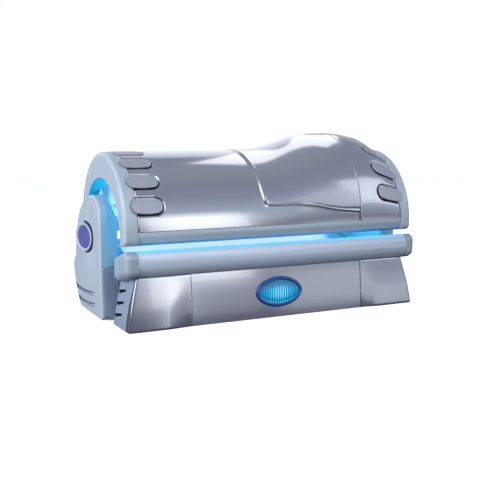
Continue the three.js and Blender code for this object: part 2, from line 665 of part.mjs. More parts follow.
// Points along the bench's curve at a radius, from the front to the rear
function benchCurve(radius, margin, steps) {
  const half = THREE.MathUtils.radToDeg(Math.asin((sheetHalf - margin) / radius));
  return arc(sheetMiddle, sheetCentre, radius, radius, 270 - half, 270 + half, steps);
}

function benchStrip(inner, outer, margin) {
  return [...benchCurve(outer, margin, BENCH_STEPS), ...benchCurve(inner, margin, BENCH_STEPS).reverse()];
}

// Lamp tubes at their seats between two holders, open through the lamp ends
function lampBank(holder, seats) {
  const past = lampHalf + HOLDER_THICKNESS;
  const holders = [-1, 1].map((sign) => prismX(holder, ...holderSpan(sign)));
  const tubes = seats.map(([y, z]) => rodX(LAMP_RADIUS, -lampHalf, lampHalf, { y, z }, LAMP_SIDES));
  const bores = seats.map(([y, z]) => rodX(LAMP_RADIUS - LAMP_WALL, -past, past, { y, z }, LAMP_SIDES));
  return joined([...holders, ...tubes]).subtract(joined(bores));
}

function holderSpan(sign) {
  const near = Math.min(sign * (lampHalf - HOLDER_GRIP), sign * (lampHalf - HOLDER_GRIP + HOLDER_THICKNESS));
  return [near, near + HOLDER_THICKNESS];
}

function buildBench() {
  const sheetEnd = benchEnd - SHEET_INSET;
  const sheet = prismX(benchStrip(sheetRadius, sheetUnder, 0), -sheetEnd, sheetEnd);
  addPart(bed, "bench_acrylic", sheet, acrylic);

  const plateTop = benchCurve(sheetUnder + 2 * GAP, PLATE_MARGIN, BENCH_STEPS).reverse();
  const plateFoot = beamTop + GAP;
  const panFloor = benchStrip(panRadius, panRadius + REFLECTOR_WALL, PAN_MARGIN);
  const plateOutline = [
    ...plateTop,
    [sheetFront + PLATE_MARGIN, plateFoot],
    [sheetRear - PLATE_MARGIN, plateFoot],
  ];
  const port = rodX(FAN_RADIUS, -plateOuter - CUT, plateOuter + CUT, fanMiddle);
  const plates = [-plateOuter, plateInner].map((x) => prismX(plateOutline, x, x + PLATE_THICKNESS));
  const pan = joined([prismX(panFloor, CUT - plateOuter, plateOuter - CUT), ...plates]).subtract(port);
  addPart(bed, "bench_pan", pan, aluminium);

  const strip = benchStrip(sheetUnder + LAMP_UNDER_SHEET / 2, panRadius - GAP, HOLDER_MARGIN);
  const seats = benchCurve(benchLampRadius, BENCH_LAMP_MARGIN, BENCH_LAMPS - 1);
  addPart(bed, "bench_lamp_bank", lampBank(strip, seats), lampGlass);

  const trayTop = beamTop + TRAY_THICKNESS;
  const tray = block(-TRAY_HALF_LENGTH, TRAY_HALF_LENGTH, beamFront, panelInside, beamTop + GAP, trayTop);
  const boxes = BALLAST_PLACES.map((x) => {
    const { halfLength, halfDepth, height } = BALLAST;
    return block(x - halfLength, x + halfLength, -halfDepth, halfDepth, trayTop - CUT, beamTop + height);
  });
  addPart(bed, "ballast_tray", joined([tray, ...boxes]), steel);
}

// Cooling fan against the left end plate, turning about X
const fanFace = GAP - plateInner;

function fanHousing() {
  const { y, z } = fanMiddle;
  const inner = fanFace + FAN_DEPTH;
  const half = FAN_SIZE / 2;
  const reach = half - FAN_BAR.depth / 2;
  const barHalf = FAN_BAR.width / 2;
  const frame = block(fanFace, inner, y - half, y + half, z - half, z + half);
  const duct = rodX(FAN_RADIUS + FAN_BLADE.tipGap, fanFace - CUT, inner + CUT, fanMiddle, DUCT_SIDES);
  const level = block(inner - FAN_BAR.depth, inner, y - reach, y + reach, z - barHalf, z + barHalf);
  const upright = block(inner - FAN_BAR.depth, inner, y - barHalf, y + barHalf, z - reach, z + reach);
  const motor = rodX(FAN_MOTOR.radius, inner - FAN_MOTOR.depth, inner, fanMiddle);
  return joined([frame.subtract(duct), level, upright, motor]);
}

function fanRotor() {
  const { width, thickness, pitch, tipGap, rootRadius } = FAN_BLADE;
  const tip = FAN_RADIUS - tipGap;
  const hubEnd = fanFace + FAN_DEPTH - FAN_MOTOR.depth - GAP;
  const hubStart = fanFace + COVER_WALL;
  const blades = Array.from({ length: FAN_BLADES }, (_, i) => {
    const blade = new THREE.BoxGeometry(width, thickness, tip - rootRadius);
    blade.rotateZ(pitch);
    blade.translate(0, 0, (tip + rootRadius) / 2);
    blade.rotateX((2 * Math.PI * i) / FAN_BLADES);
    blade.translate((hubStart + hubEnd) / 2, fanMiddle.y, fanMiddle.z);
    return solidOf(blade);
  });
  return joined([rodX(FAN_HUB_RADIUS, hubStart, hubEnd, fanMiddle), ...blades]);
}

// Towers: a post with the hinge bearing, under three covers, with a gas spring
function towerOutline() {
  const lower = ([back, share]) =>
    new THREE.Vector2(hinge.y + back, THREE.MathUtils.lerp(TOWER_CLEARANCE, towerLedge, share));
  const upper = ([back, share]) =>
    new THREE.Vector2(hinge.y + back, THREE.MathUtils.lerp(towerLedge, towerTop, share));
  const crown = TOWER_CROWN.map(([share, rise]) => [share * (towerFront - hinge.y), rise]);
  const shape = new THREE.Shape();
  shape.moveTo(towerFront - TOWER_SPREAD, TOWER_CLEARANCE);
  shape.lineTo(hinge.y + TOWER_HEEL, TOWER_CLEARANCE);
  shape.splineThru(TOWER_LOWER.map(lower));
  shape.lineTo(hinge.y + TOWER_SHOULDER[0], towerLedge + TOWER_SHOULDER[1]);
  shape.splineThru([...TOWER_UPPER, ...crown].map(upper));
  shape.lineTo(towerFront, towerLedge);
  shape.closePath();
  const points = shape.getPoints(2).map(({ x, y }) => [x, y]);
  return points.filter(([y, z], i) => {
    const [nextY, nextZ] = points[(i + 1) % points.length];
    return Math.hypot(nextY - y, nextZ - z) > CUT;
  });
}

// What the canopy's rear sweeps through, beyond a radius from the hinge
function swept(radius, x0, x1) {
  const zone = block(x0, x1, hinge.y, canopyRear + HALF_LENGTH, TOWER_CLEARANCE, hinge.z + 2 * PIN_RADIUS);
  return zone.subtract(rodX(radius, x0 - CUT, x1 + CUT, hinge, SWEEP_SIDES));
}

function towerSide(group, side) {
  const outline = towerOutline();
  const inside = drawnIn(outline, COVER_WALL);
  const outerFace = COVER_WALL - towerOuter;
  const nearSplit = -towerSplit - COVER_WALL;
  const hole = rodX(CAP_HOLE_RADIUS, -towerOuter - CUT, outerFace + CUT, hinge, CAP_SIDES);
  const mouthZone = block(
    nearSplit - CUT,
    CUT - towerSplit,
    towerFront,
    baseRear - COVER_WALL,
    2 * TOWER_CLEARANCE,
    towerTop,
  );
  const mouth = prismX(drawnIn(outline, 2 * COVER_WALL), nearSplit - CUT, CUT - towerSplit)
    .intersect(mouthZone)
    .subtract(swept(swingRadius - 2 * COVER_WALL, nearSplit - 2 * CUT, 2 * CUT - towerSplit));
  const sideCover = prismX(outline, -towerOuter, -towerSplit)
    .subtract(prismX(inside, outerFace, nearSplit))
    .subtract(hole)
    .subtract(mouth);
  addPart(group, `tower_side_cover_${side}`, sideCover, satinGrey);

  const hoodStart = GAP - towerSplit;
  const hoodFace = -towerInner - COVER_WALL;
  const below = block(-towerOuter, 0, -HALF_LENGTH, HALF_LENGTH, 0, towerLedge + GAP);
  const hoodIn = prismX(inside, hoodStart - CUT, hoodFace)
    .subtract(swept(swingRadius - COVER_WALL, hoodStart - 2 * CUT, -towerInner));
  const pinHole = rodX(PIN_RADIUS + CUT, hoodFace - CUT, CUT - towerInner, hinge);
  const hood = prismX(outline, hoodStart, -towerInner)
    .subtract(below)
    .subtract(swept(swingRadius, hoodStart - CUT, CUT - towerInner))
    .subtract(hoodIn)
    .subtract(pinHole);
  addPart(group, `tower_hood_${side}`, hood, satinGrey);

  const footFront = towerFront - TOWER_SPREAD;
  const footRear = baseRear + FOOT_COVER_OVERHANG;
  const footFloor = TOWER_CLEARANCE + COVER_WALL;
  const footOutline = [
    [footFront, TOWER_CLEARANCE],
    [footRear, TOWER_CLEARANCE],
    [footRear, towerLedge],
    [footRear - COVER_WALL, towerLedge],
    [footRear - COVER_WALL, footFloor],
    [footFront + COVER_WALL, footFloor],
    [towerFront + COVER_WALL, towerLedge],
    [towerFront, towerLedge],
  ];
  const footCover = prismX(footOutline, hoodStart, -armOuter - FOOT_COVER_GAP);
  addPart(group, `tower_foot_cover_${side}`, footCover, satinGrey);
}

const postInner = towerInner + POST_OFFSET;
const postOuter = postInner + POST_THICKNESS;
const crankInner = postOuter + CRANK_CLEARANCE;
const crankOuter = crankInner + CRANK_THICKNESS;
const springX = crankOuter + SPRING_OFFSET;
const crankAngle = THREE.MathUtils.degToRad(CRANK_REST);
const crankPin = {
  y: hinge.y - CRANK_RADIUS * Math.cos(crankAngle),
  z: hinge.z - CRANK_RADIUS * Math.sin(crankAngle),
};
const springPlace = { x: -springX, y: (hinge.y - CRANK_RADIUS + crankPin.y) / 2 };
const springBottom = hinge.z - SPRING_DROP;
const springTop = springBottom + SPRING_LENGTH;

function towerPost() {
  const { offset, thickness, below, above } = COVER_BAR;
  const front = hinge.y - POST_HALF_DEPTH;
  const column = block(
    -postOuter,
    -postInner,
    front,
    hinge.y + POST_HALF_DEPTH,
    FOOT_HEIGHT,
    hinge.z + POST_ABOVE_HINGE,
  );
  const gusset = block(
    -postInner - CUT,
    -benchEnd - GAP,
    hinge.y - GUSSET_HALF_DEPTH,
    hinge.y + GUSSET_HALF_DEPTH,
    FOOT_HEIGHT,
    beamTop,
  );
  const coverBar = block(
    -postInner - offset - thickness,
    -postInner - offset,
    towerFront + COVER_WALL + GAP,
    front + CUT,
    towerLedge - below,
    towerLedge + above,
  );
  const hollow = block(
    TUBE_WALL - postOuter,
    -postInner - TUBE_WALL,
    front + TUBE_WALL,
    hinge.y + POST_HALF_DEPTH - TUBE_WALL,
    FOOT_HEIGHT - CUT,
    hinge.z + POST_ABOVE_HINGE - TUBE_WALL,
  );
  const bore = rodX(PIN_RADIUS + BUSH_WALL + GAP, -postOuter - CUT, CUT - postInner, hinge);
  return joined([column, gusset, coverBar]).subtract(hollow).subtract(bore);
}

function hingeBush() {
  const sleeve = rodX(PIN_RADIUS + BUSH_WALL, -postOuter - CUT, CUT - postInner, hinge);
  return sleeve.subtract(rodX(PIN_RADIUS + GAP, -postOuter - 2 * CUT, 2 * CUT - postInner, hinge));
}

function gasSpringCylinder() {
  const tube = rodZ(SPRING_RADIUS, springBottom, springTop, springPlace);
  const bracket = block(
    -springX,
    -postOuter - GAP,
    springPlace.y - ROD_RADIUS,
    hinge.y - POST_HALF_DEPTH / 2,
    springBottom,
    springBottom + 2 * SPRING_RADIUS,
  );
  const bore = rodZ(ROD_RADIUS + GAP, springBottom + SPRING_FLOOR, springTop + CUT, springPlace);
  return tube.add(bracket).subtract(bore);
}

function gasSpringRod() {
  const { radius, hole, half } = ROD_EYE;
  const place = { y: springPlace.y, z: crankPin.z };
  const rodBottom = springBottom + SPRING_FLOOR + ROD_RADIUS;
  const rod = rodZ(ROD_RADIUS, rodBottom, crankPin.z - hole - CUT, springPlace);
  const eye = rodX(radius, -springX - half, half - springX, place);
  return rod.add(eye).subtract(rodX(hole, -springX - half - CUT, half + CUT - springX, place));
}

// A collar behind the round hole of the side cover, with a domed disc in it
function capRing() {
  const face = COVER_WALL + GAP - towerOuter;
  const back = face + CAP_FLANGE.thickness;
  const flange = rodX(CAP_HOLE_RADIUS + CAP_FLANGE.overlap, face, back, hinge, CAP_SIDES);
  const collar = rodX(CAP_RADIUS + CAP_RING_WALL, -towerOuter - CAP_PROUD, back, hinge, CAP_SIDES);
  const inside = rodX(CAP_RADIUS, -towerOuter - CAP_PROUD - CUT, back + CUT, hinge, CAP_SIDES);
  return flange.add(collar).subtract(inside);
}

function capDisc() {
  const { seat, edge, shoulder, shoulderShare, height } = CAP_DOME;
  const radius = CAP_RADIUS - 2 * GAP;
  const profile = [[0, 0], [radius, 0], [radius, edge], [shoulderShare * radius, shoulder], [0, height]];
  const dome = new THREE.LatheGeometry(profile.map(([r, h]) => new THREE.Vector2(r, h)), CAP_SIDES);
  dome.rotateZ(Math.PI / 2);
  dome.translate(seat - towerOuter, hinge.y, hinge.z);
  return solidOf(dome);
}

// Canopy: rise of the arch along X, with the hump
function riseAt(x) {
  if (x <= humpStart || x >= ringInner) return archRise;
  if (x < humpPeak) return archRise + HUMP_RISE * THREE.MathUtils.smootherstep(x, humpStart, humpPeak);
  return archRise + HUMP_RISE * (1 - ((x - humpPeak) / (ringInner - humpPeak)) ** 3);
}

// The arch's section at x, from rear to front, standing on a level
function archSection(x, offset, foot) {
  const rise = riseAt(x) + offset;
  const start = THREE.MathUtils.radToDeg(Math.asin((foot - archCentre) / rise));
  const across = CANOPY_HALF_DEPTH + offset;
  return arc(CANOPY_MIDDLE, archCentre, across, rise, start, 180 - start, ARC_STEPS);
}

function stations(from, to, count) {
  return Array.from({ length: count + 1 }, (_, i) => THREE.MathUtils.lerp(from, to, i / count));
}

const mainStations = [-shellEnd, ...stations(humpStart, shellSeam - GAP, HUMP_STEPS)];
const rightStations = stations(shellSeam, shellEnd, RIGHT_STEPS);

function canopyShell(places) {
  const foot = railTop + GAP;
  const rings = places.map((x) => {
    const outer = archSection(x, 0, foot);
    const inner = archSection(x, -COVER_WALL, foot).reverse();
    return [...outer, ...inner].map(([y, z]) => [x, y, z]);
  });
  return loft(rings, ([, y, z]) => [y, z]);
}

// The filled barrel under the outer surface, grown by an offset and run past its ends
function barrel(places, offset, past) {
  const rings = places.map((place, i) => {
    const x = place + (i === 0 ? -past : 0) + (i === places.length - 1 ? past : 0);
    return archSection(place, offset, railTop).map(([y, z]) => [x, y, z]);
  });
  return loft(rings, ([, y, z]) => [y, z]);
}

// The end opening, from front to rear, grown by an inset of the ring round it
function openingCurve(inset) {
  const radius = openingRadius + inset;
  const dip = THREE.MathUtils.radToDeg(Math.asin((OPENING_RISE - inset) / radius));
  return arc(CANOPY_MIDDLE, openingCentre, radius, radius, 180 + dip, -dip, ARC_STEPS);
}

function ringOutline(inset) {
  const outer = CANOPY_HALF_DEPTH - inset;
  const round = RAIL_ROUND - inset;
  const rearRound = canopyRear - RAIL_ROUND;
  const frontRound = canopyFront + RAIL_ROUND;
  const roundTop = railBottom + RAIL_ROUND;
  return [
    ...arc(rearRound, roundTop, round, round, 270, 360, EDGE_STEPS),
    [CANOPY_MIDDLE + outer, archCentre],
    ...archSection(-HALF_LENGTH, -inset, railTop),
    [CANOPY_MIDDLE - outer, archCentre],
    ...arc(frontRound, roundTop, round, round, 180, 270, EDGE_STEPS),
    ...openingCurve(inset),
  ];
}

function endRing() {
  const whole = prismX(ringOutline(0), -HALF_LENGTH, -ringInner - GAP);
  return whole.subtract(prismX(ringOutline(RING_WALL), RING_WALL - HALF_LENGTH, CUT - ringInner));
}

function railOutline(inset) {
  const front = canopyFront + inset;
  const back = railBack - inset;
  const top = railTop - inset;
  const round = RAIL_ROUND - inset;
  return [
    [back, railBottom + inset],
    [back, top],
    [front, top],
    ...arc(canopyFront + RAIL_ROUND, railBottom + RAIL_ROUND, round, round, 180, 270, EDGE_STEPS),
  ];
}

function canopyRail() {
  const run = ringInner - GAP / 2;
  const hollow = prismX(railOutline(COVER_WALL), -run - CUT, run + CUT);
  return prismX(railOutline(0), -run, run).subtract(hollow);
}

// A band in the groove between a ring and the shell, between two offsets from the arch
function grooveBand(sign, inner, outer) {
  const near = Math.min(sign * ringInner, sign * shellEnd) + 2 * GAP;
  const far = near + TRIM_GROOVE - 4 * GAP;
  const core = prismX(archSection(-HALF_LENGTH, inner, railTop - CUT), near - CUT, far + CUT);
  return prismX(archSection(-HALF_LENGTH, outer, railTop + GAP), near, far).subtract(core);
}

// Pads round a ring's edge, joined by a band in the groove beside the shell
function fingerTrim(sign) {
  const middle = ringInner + PAD_ON_RING - PAD_LENGTH / 2;
  const half = (PAD_LENGTH - PAD_WIDTH) / 2;
  const radius = PAD_WIDTH / 2;
  const stadium = [
    ...arc(sign * middle + half, 0, radius, radius, -90, 90, PAD_STEPS),
    ...arc(sign * middle - half, 0, radius, radius, 90, 270, PAD_STEPS),
  ];
  const columns = Array.from({ length: PADS_PER_END }, (_, i) => {
    const angle = THREE.MathUtils.degToRad(90 + (i - (PADS_PER_END - 1) / 2) * PAD_PITCH);
    const along = new THREE.Vector2(Math.cos(angle) / CANOPY_HALF_DEPTH, Math.sin(angle) / archRise);
    const column = extruded(stadium, 2 * HUMP_RISE);
    column.translate(0, 0, -HUMP_RISE);
    column.rotateX(Math.atan2(-along.x, along.y));
    column.translate(
      0,
      CANOPY_MIDDLE + CANOPY_HALF_DEPTH * Math.cos(angle),
      archCentre + archRise * Math.sin(angle),
    );
    return solidOf(column);
  });
  const from = middle - PAD_LENGTH / 2 - (shellEnd - shellSeam) / (rightStations.length - 1);
  const places = sign < 0
    ? [-HALF_LENGTH, -from]
    : [...rightStations.filter((x) => x > from), ringInner, HALF_LENGTH];
  const skin = barrel(places, PAD_PROUD, 0).subtract(barrel(places, PAD_LIFT, CUT));
  const pads = joined(columns);
  const band = grooveBand(sign, -2 * COVER_WALL, -CUT);
  const risers = grooveBand(sign, -COVER_WALL, PAD_LIFT + COVER_WALL).intersect(pads);
  return joined([pads.intersect(skin), band, risers]);
}

// Screens and lamps inside the canopy stand on the rails
function archCurve(radius) {
  const start = THREE.MathUtils.radToDeg(Math.asin((railTop + GAP - openingCentre) / radius));
  return arc(CANOPY_MIDDLE, openingCentre, radius, radius, start, 180 - start, ARC_STEPS);
}

function archStrip(inner, outer) {
  return [...archCurve(outer), ...archCurve(inner).reverse()];
}

function buildCanopyInside() {
  const shield = archStrip(shieldInner, shieldOuter);
  addPart(bed, "canopy_shield", prismX(shield, -shellEnd, shellEnd), acrylic);
  const reflectorHalf = lampHalf + 2 * HOLDER_THICKNESS;
  const reflector = archStrip(reflectorInner, reflectorInner + REFLECTOR_WALL);
  addPart(bed, "canopy_reflector", prismX(reflector, -reflectorHalf, reflectorHalf), aluminium);

  const holder = archStrip(shieldOuter + HOLDER_PLAY, reflectorInner - HOLDER_PLAY);
  const lowest = railTop + LAMP_OVER_RAIL + LAMP_RADIUS - openingCentre;
  const from = THREE.MathUtils.radToDeg(Math.asin(lowest / lampCircle));
  const span = [from, 180 - from];
  const seats = arc(CANOPY_MIDDLE, openingCentre, lampCircle, lampCircle, ...span, CANOPY_LAMPS - 1);
  addPart(bed, "canopy_lamp_bank", lampBank(holder, seats), lampGlass);

  const podFace = railBack + GAP + POD.depth;
  const place = { x: BUTTON.place, z: railBottom + BUTTON.rise };
  const pod = block(POD.from, POD.to, railBack + GAP, podFace, railBottom + POD.below, railTop - POD.above);
  const pocket = rodY(BUTTON.radius + GAP, podFace - BUTTON.pocket, podFace + CUT, place);
  addPart(bed, "control_pod", pod.subtract(pocket), satinGrey);
  const button = rodY(BUTTON.radius, podFace - BUTTON.proud, podFace + BUTTON.proud, place);
  addPart(bed, "start_button", button, blackPlastic);
}

// Hinge arm: a plate foot against the ring's opening, a pin and a crank for the gas spring
function hingeArm() {
  const round = ({ y, z }, radius, from, to, steps) => arc(y, z, radius, radius, from, to, steps);
  const opening = { y: CANOPY_MIDDLE, z: openingCentre };
  const plate = [
    ...round(opening, openingRadius, ARM_FOOT_FROM, ARM_FOOT_TO, EDGE_STEPS),
    ...round(hinge, ARM_HUB_RADIUS, ARM_HUB_FROM, ARM_HUB_TO, ARM_STEPS),
  ];
  const crank = [
    ...round(hinge, CRANK_HUB_RADIUS, CRANK_REST - 90, CRANK_REST + 90, CRANK_STEPS),
    ...round(crankPin, CRANK_EYE_RADIUS, CRANK_REST + 90, CRANK_REST + 270, CRANK_STEPS),
  ];
  const within = prismX(openingCurve(-GAP), -armOuter - CUT, CUT - armInner);
  const pinEnd = -springX - ROD_EYE.half - COVER_WALL;
  return joined([
    prismX(plate, -armOuter, -armInner).intersect(within),
    rodX(PIN_RADIUS, -crankOuter, CUT - armOuter, hinge),
    prismX(crank, -crankOuter, -crankInner),
    rodX(CRANK_PIN_RADIUS, pinEnd, CUT - crankOuter, crankPin),
  ]);
}

buildBase();
buildSkirt();
buildBumper();
buildBench();
for (const side of ["left", "right"]) {
  const end = new THREE.Group();
  end.scale.x = side === "left" ? 1 : -1;
  bed.add(end);
  addPart(end, `front_panel_${side}`, cornerPanel(), silver);
  addPart(end, `end_panel_${side}`, endPanel(), satinGrey);
  addPart(end, `bumper_cap_${side}`, bumperCap(), satinGrey);
  towerSide(end, side);
  addPart(end, `tower_post_${side}`, towerPost(), steel);
  addPart(end, `hinge_bush_${side}`, hingeBush(), aluminium);
  addPart(end, `gas_spring_cylinder_${side}`, gasSpringCylinder(), blackPlastic);
  addPart(end, `gas_spring_rod_${side}`, gasSpringRod(), steel);
  addPart(end, `hinge_cap_ring_${side}`, capRing(), satinGrey);
  addPart(end, `hinge_cap_disc_${side}`, capDisc(), purplePlastic);
  addPart(end, `canopy_end_ring_${side}`, endRing(), satinGrey);
  addPart(end, `canopy_arm_${side}`, hingeArm(), steel);
}
addPart(bed, "fan_housing", fanHousing(), blackPlastic);
addPart(bed, "fan_rotor", fanRotor(), blackPlastic);
addPart(bed, "canopy_trim_left", fingerTrim(-1), padGrey);
addPart(bed, "canopy_trim_right", fingerTrim(1), padGrey);
addPart(bed, "canopy_shell_main", canopyShell(mainStations), silver);
addPart(bed, "canopy_shell_right", canopyShell(rightStations), silver);
addPart(bed, "canopy_front_rail", canopyRail(), satinGrey);
const rearRailPlace = new THREE.Group();
rearRailPlace.position.y = 2 * CANOPY_MIDDLE;
rearRailPlace.scale.y = -1;
bed.add(rearRailPlace);
addPart(rearRailPlace, "canopy_rear_rail", canopyRail(), satinGrey);
buildCanopyInside();

export default bed;
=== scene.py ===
import bmesh
import bpy
import numpy as np
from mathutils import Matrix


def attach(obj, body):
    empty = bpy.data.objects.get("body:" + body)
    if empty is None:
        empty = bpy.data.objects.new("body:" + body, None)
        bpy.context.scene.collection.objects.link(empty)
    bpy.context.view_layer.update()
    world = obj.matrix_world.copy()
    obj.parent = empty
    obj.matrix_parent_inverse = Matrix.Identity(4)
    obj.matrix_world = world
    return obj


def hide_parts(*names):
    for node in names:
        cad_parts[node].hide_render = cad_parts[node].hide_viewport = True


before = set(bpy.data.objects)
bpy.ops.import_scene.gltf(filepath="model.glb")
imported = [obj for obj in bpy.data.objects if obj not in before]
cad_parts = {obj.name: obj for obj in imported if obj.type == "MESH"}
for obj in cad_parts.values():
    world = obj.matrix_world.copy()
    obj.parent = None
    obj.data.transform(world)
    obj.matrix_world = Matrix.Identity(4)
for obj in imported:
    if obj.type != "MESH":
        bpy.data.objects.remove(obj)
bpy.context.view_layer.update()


def tint(red, green, blue):  # a screen colour, 0 to 255, as the linear colour that sockets take
    share = np.array([red, green, blue]) / 255
    return (*np.where(share <= 0.04045, share / 12.92, ((share + 0.055) / 1.055) ** 2.4), 1.0)


def ease(low, high, value):  # 3k^2 - 2k^3 of the share k between two edges
    k = np.clip((value - low) / (high - low), 0, 1)
    return k * k * (3 - 2 * k)


def softMin(a, b, size):  # the lower of two fields, blended where they are within size
    k = np.clip(0.5 + 0.5 * (b - a) / size, 0, 1)
    return b + (a - b) * k - size * k * (1 - k)


def unit(arrows):  # each arrow divided by its length
    return arrows / np.maximum(np.linalg.norm(arrows, axis=-1, keepdims=True), 1e-9)


def placed(x, y, z):  # three coordinates spread over one grid of points
    return np.stack(np.broadcast_arrays(x, y, z), -1)


def onCircle(centre, radius, turn):  # points of a circle, or of an ellipse with two radii, at the given turns
    wide, tall = np.broadcast_to(radius, 2)
    return np.stack([centre[0] + wide * np.cos(turn), centre[1] + tall * np.sin(turn)], -1)


def spaced(*runs):  # joins runs of (from, to, step) into one rising array
    parts = [np.linspace(a, b, max(2, int(round(abs(b - a) / step)) + 1)) for a, b, step in runs]
    return np.unique(np.round(np.concatenate(parts), 6))


def along(points, count, closed=False):  # even points along a polyline, by its running length
    p = np.vstack([points, points[:1]]) if closed else np.asarray(points, float)
    run = np.concatenate([[0], np.cumsum(np.linalg.norm(np.diff(p, axis=0), axis=1))])
    at = np.linspace(0, run[-1], count, endpoint=not closed)
    return np.stack([np.interp(at, run, p[:, i]) for i in range(p.shape[1])], -1)


def splineThrough(points, steps):  # uniform Catmull-Rom: each span a cubic of its four neighbours
    p = np.array(points, float)
    q = np.vstack([p[:1], p, p[-1:]])
    k = np.linspace(0, 1, steps, endpoint=False)[None, :, None]
    a, b, c, d = (q[i:len(p) - 1 + i, None] for i in range(4))
    curve = 0.5 * (2 * b + (c - a) * k + (2 * a - 5 * b + 4 * c - d) * k ** 2 + (3 * b - a - 3 * c + d) * k ** 3)
    return np.vstack([curve.reshape(-1, p.shape[1]), p[-1:]])


def rounded(corners, radii, steps):  # polygon whose corners are arcs touching both sides, swept about their centres
    p = np.array(corners, float)
    r = np.maximum(np.array(radii, float), 0.0004)[:, None]
    a = unit(np.roll(p, 1, 0) - p)
    b = unit(np.roll(p, -1, 0) - p)
    half = np.arccos(np.clip((a * b).sum(1, keepdims=True), -1, 1)) / 2
    centre = p + unit(a + b) * r / np.sin(half)
    start = p + a * r / np.tan(half) - centre
    end = p + b * r / np.tan(half) - centre
    turn = np.maximum(np.pi - 2 * half, 1e-6)[:, None]
    k = np.linspace(0, 1, steps + 1)[None, :, None]
    arcs = (np.sin((1 - k) * turn) * start[:, None] + np.sin(k * turn) * end[:, None]) / np.sin(turn)
    return (centre[:, None] + arcs).reshape(-1, 2)


def drawnIn(outline, inset):  # closed outline moved inwards along its normals, by one distance or one per point
    before = outline - np.roll(outline, 1, 0)
    after = np.roll(outline, -1, 0) - outline
    n0, n1 = (unit(step[:, ::-1] * [-1, 1]) for step in (before, after))
    n = unit(n0 + n1)
    n /= np.maximum((n * n0).sum(1, keepdims=True), 0.6)
    area = (outline[:, 0] * np.roll(outline[:, 1], -1) - np.roll(outline[:, 0], -1) * outline[:, 1]).sum()
    return outline + n * np.sign(area) * np.reshape(inset, (-1, 1))


def gridFaces(rows, cols, wrapRows=False, wrapCols=False):  # quads from each point to its next row and column
    r = np.arange(rows if wrapRows else rows - 1)[:, None]
    c = np.arange(cols if wrapCols else cols - 1)[None, :]
    r1 = (r + 1) % rows
    c1 = (c + 1) % cols
    corners = np.broadcast_arrays(r * cols + c, r1 * cols + c, r1 * cols + c1, r * cols + c1)
    return np.stack(corners, -1).reshape(-1, 4)


def zipEnds(count, outer):  # triangles that join an outside run of a ring's points to the inside run behind it
    i = np.arange(outer - 1)
    j = np.round(np.arange(outer) * (count - outer - 1) / (outer - 1)).astype(int)
    back = count - 1 - j
    ahead = np.stack([i, i + 1, back[:-1]], -1)
    behind = np.stack([i + 1, back[1:], back[:-1]], -1)[j[1:] != j[:-1]]
    return np.concatenate([ahead, behind])


def skin(rings, loop=False, outer=0):  # closed rings joined in order, with flat or zipped ends unless they form a loop
    rows, cols = rings.shape[:2]
    last = (rows - 1) * cols
    if loop:
        ends = []
    elif outer:
        ends = list(zipEnds(cols, outer)) + list(zipEnds(cols, outer) + last)
    else:
        ends = [np.arange(cols)[::-1], np.arange(cols) + last]
    return rings.reshape(-1, 3), gridFaces(rows, cols, loop, True), ends


def alongX(outline, xs):  # the same Y-Z outline at each x
    return placed(np.asarray(xs)[:, None], outline[:, 0], outline[:, 1])


def endsEased(rings, amount):  # first and last ring drawn towards their middles, so that the ends are rounded
    for i in (0, -1):
        middle = rings[i].mean(0)
        arm = rings[i] - middle
        length = np.linalg.norm(arm, axis=1, keepdims=True)
        rings[i] = middle + arm * np.maximum(1 - amount / np.maximum(length, 1e-6), 0.4)
    return rings


def bar(outline, piece):  # an outline carried from one end of the bed to the other, with rounded ends
    half, edge = piece["half"], piece["edge"]
    return skin(endsEased(alongX(outline, [-half, -half + edge, half - edge, half]), piece["ends"]))


def lathe(profile, centre, sides):  # closed (x, radius) loop turned about a line along X
    turn = np.linspace(0, 2 * np.pi, sides, endpoint=False)[:, None]
    x, radius = np.array(profile, float).T
    return placed(x, centre[0] + radius * np.cos(turn), centre[1] + radius * np.sin(turn))


def mirrored(part):  # the same part on the other side of X = 0
    points, quads, ends = part
    return points * [-1, 1, 1], quads, ends


def both(*names):  # each name with its left and right ending
    return [name + "_" + side for name in names for side in ("left", "right")]


# one mesh of several parts, with its finish and marks, tied to its body and to the nodes it stands for
def makePiece(name, parts, finish, body, nodes=(), sharp=38, bevel=0.0, marks=None):
    points, faces, start = [], [], 0
    for partPoints, quads, ends in parts:
        points.append(partPoints)
        faces += (quads + start).tolist() + [(end + start).tolist() for end in ends]
        start += len(partPoints)
    mesh = bpy.data.meshes.new(name)
    mesh.from_pydata(np.concatenate(points), [], faces)
    work = bmesh.new()
    work.from_mesh(mesh)
    bmesh.ops.remove_doubles(work, verts=work.verts, dist=2e-6)
    bmesh.ops.dissolve_degenerate(work, edges=work.edges, dist=1e-6)
    bmesh.ops.recalc_face_normals(work, faces=work.faces)
    work.to_mesh(mesh)
    work.free()
    mesh.shade_smooth()
    mesh.set_sharp_from_angle(angle=np.radians(sharp))
    mesh.materials.append(finishes[finish])
    for mark, field in (marks or {}).items():  # per-vertex numbers for the material, from each vertex's place
        place = np.empty(len(mesh.vertices) * 3, np.float32)
        mesh.vertices.foreach_get("co", place)
        layer = mesh.attributes.new(mark, "FLOAT", "POINT")
        layer.data.foreach_set("value", field(*place.reshape(-1, 3).T).astype(np.float32))
    piece = bpy.data.objects.new(name, mesh)
    bpy.context.scene.collection.objects.link(piece)
    if bevel:
        edges = piece.modifiers.new("edges", "BEVEL")
        edges.width = bevel
        edges.segments = 3
        edges.limit_method = "ANGLE"
        edges.angle_limit = np.radians(35)
    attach(piece, body)
    if nodes:
        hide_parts(*nodes)


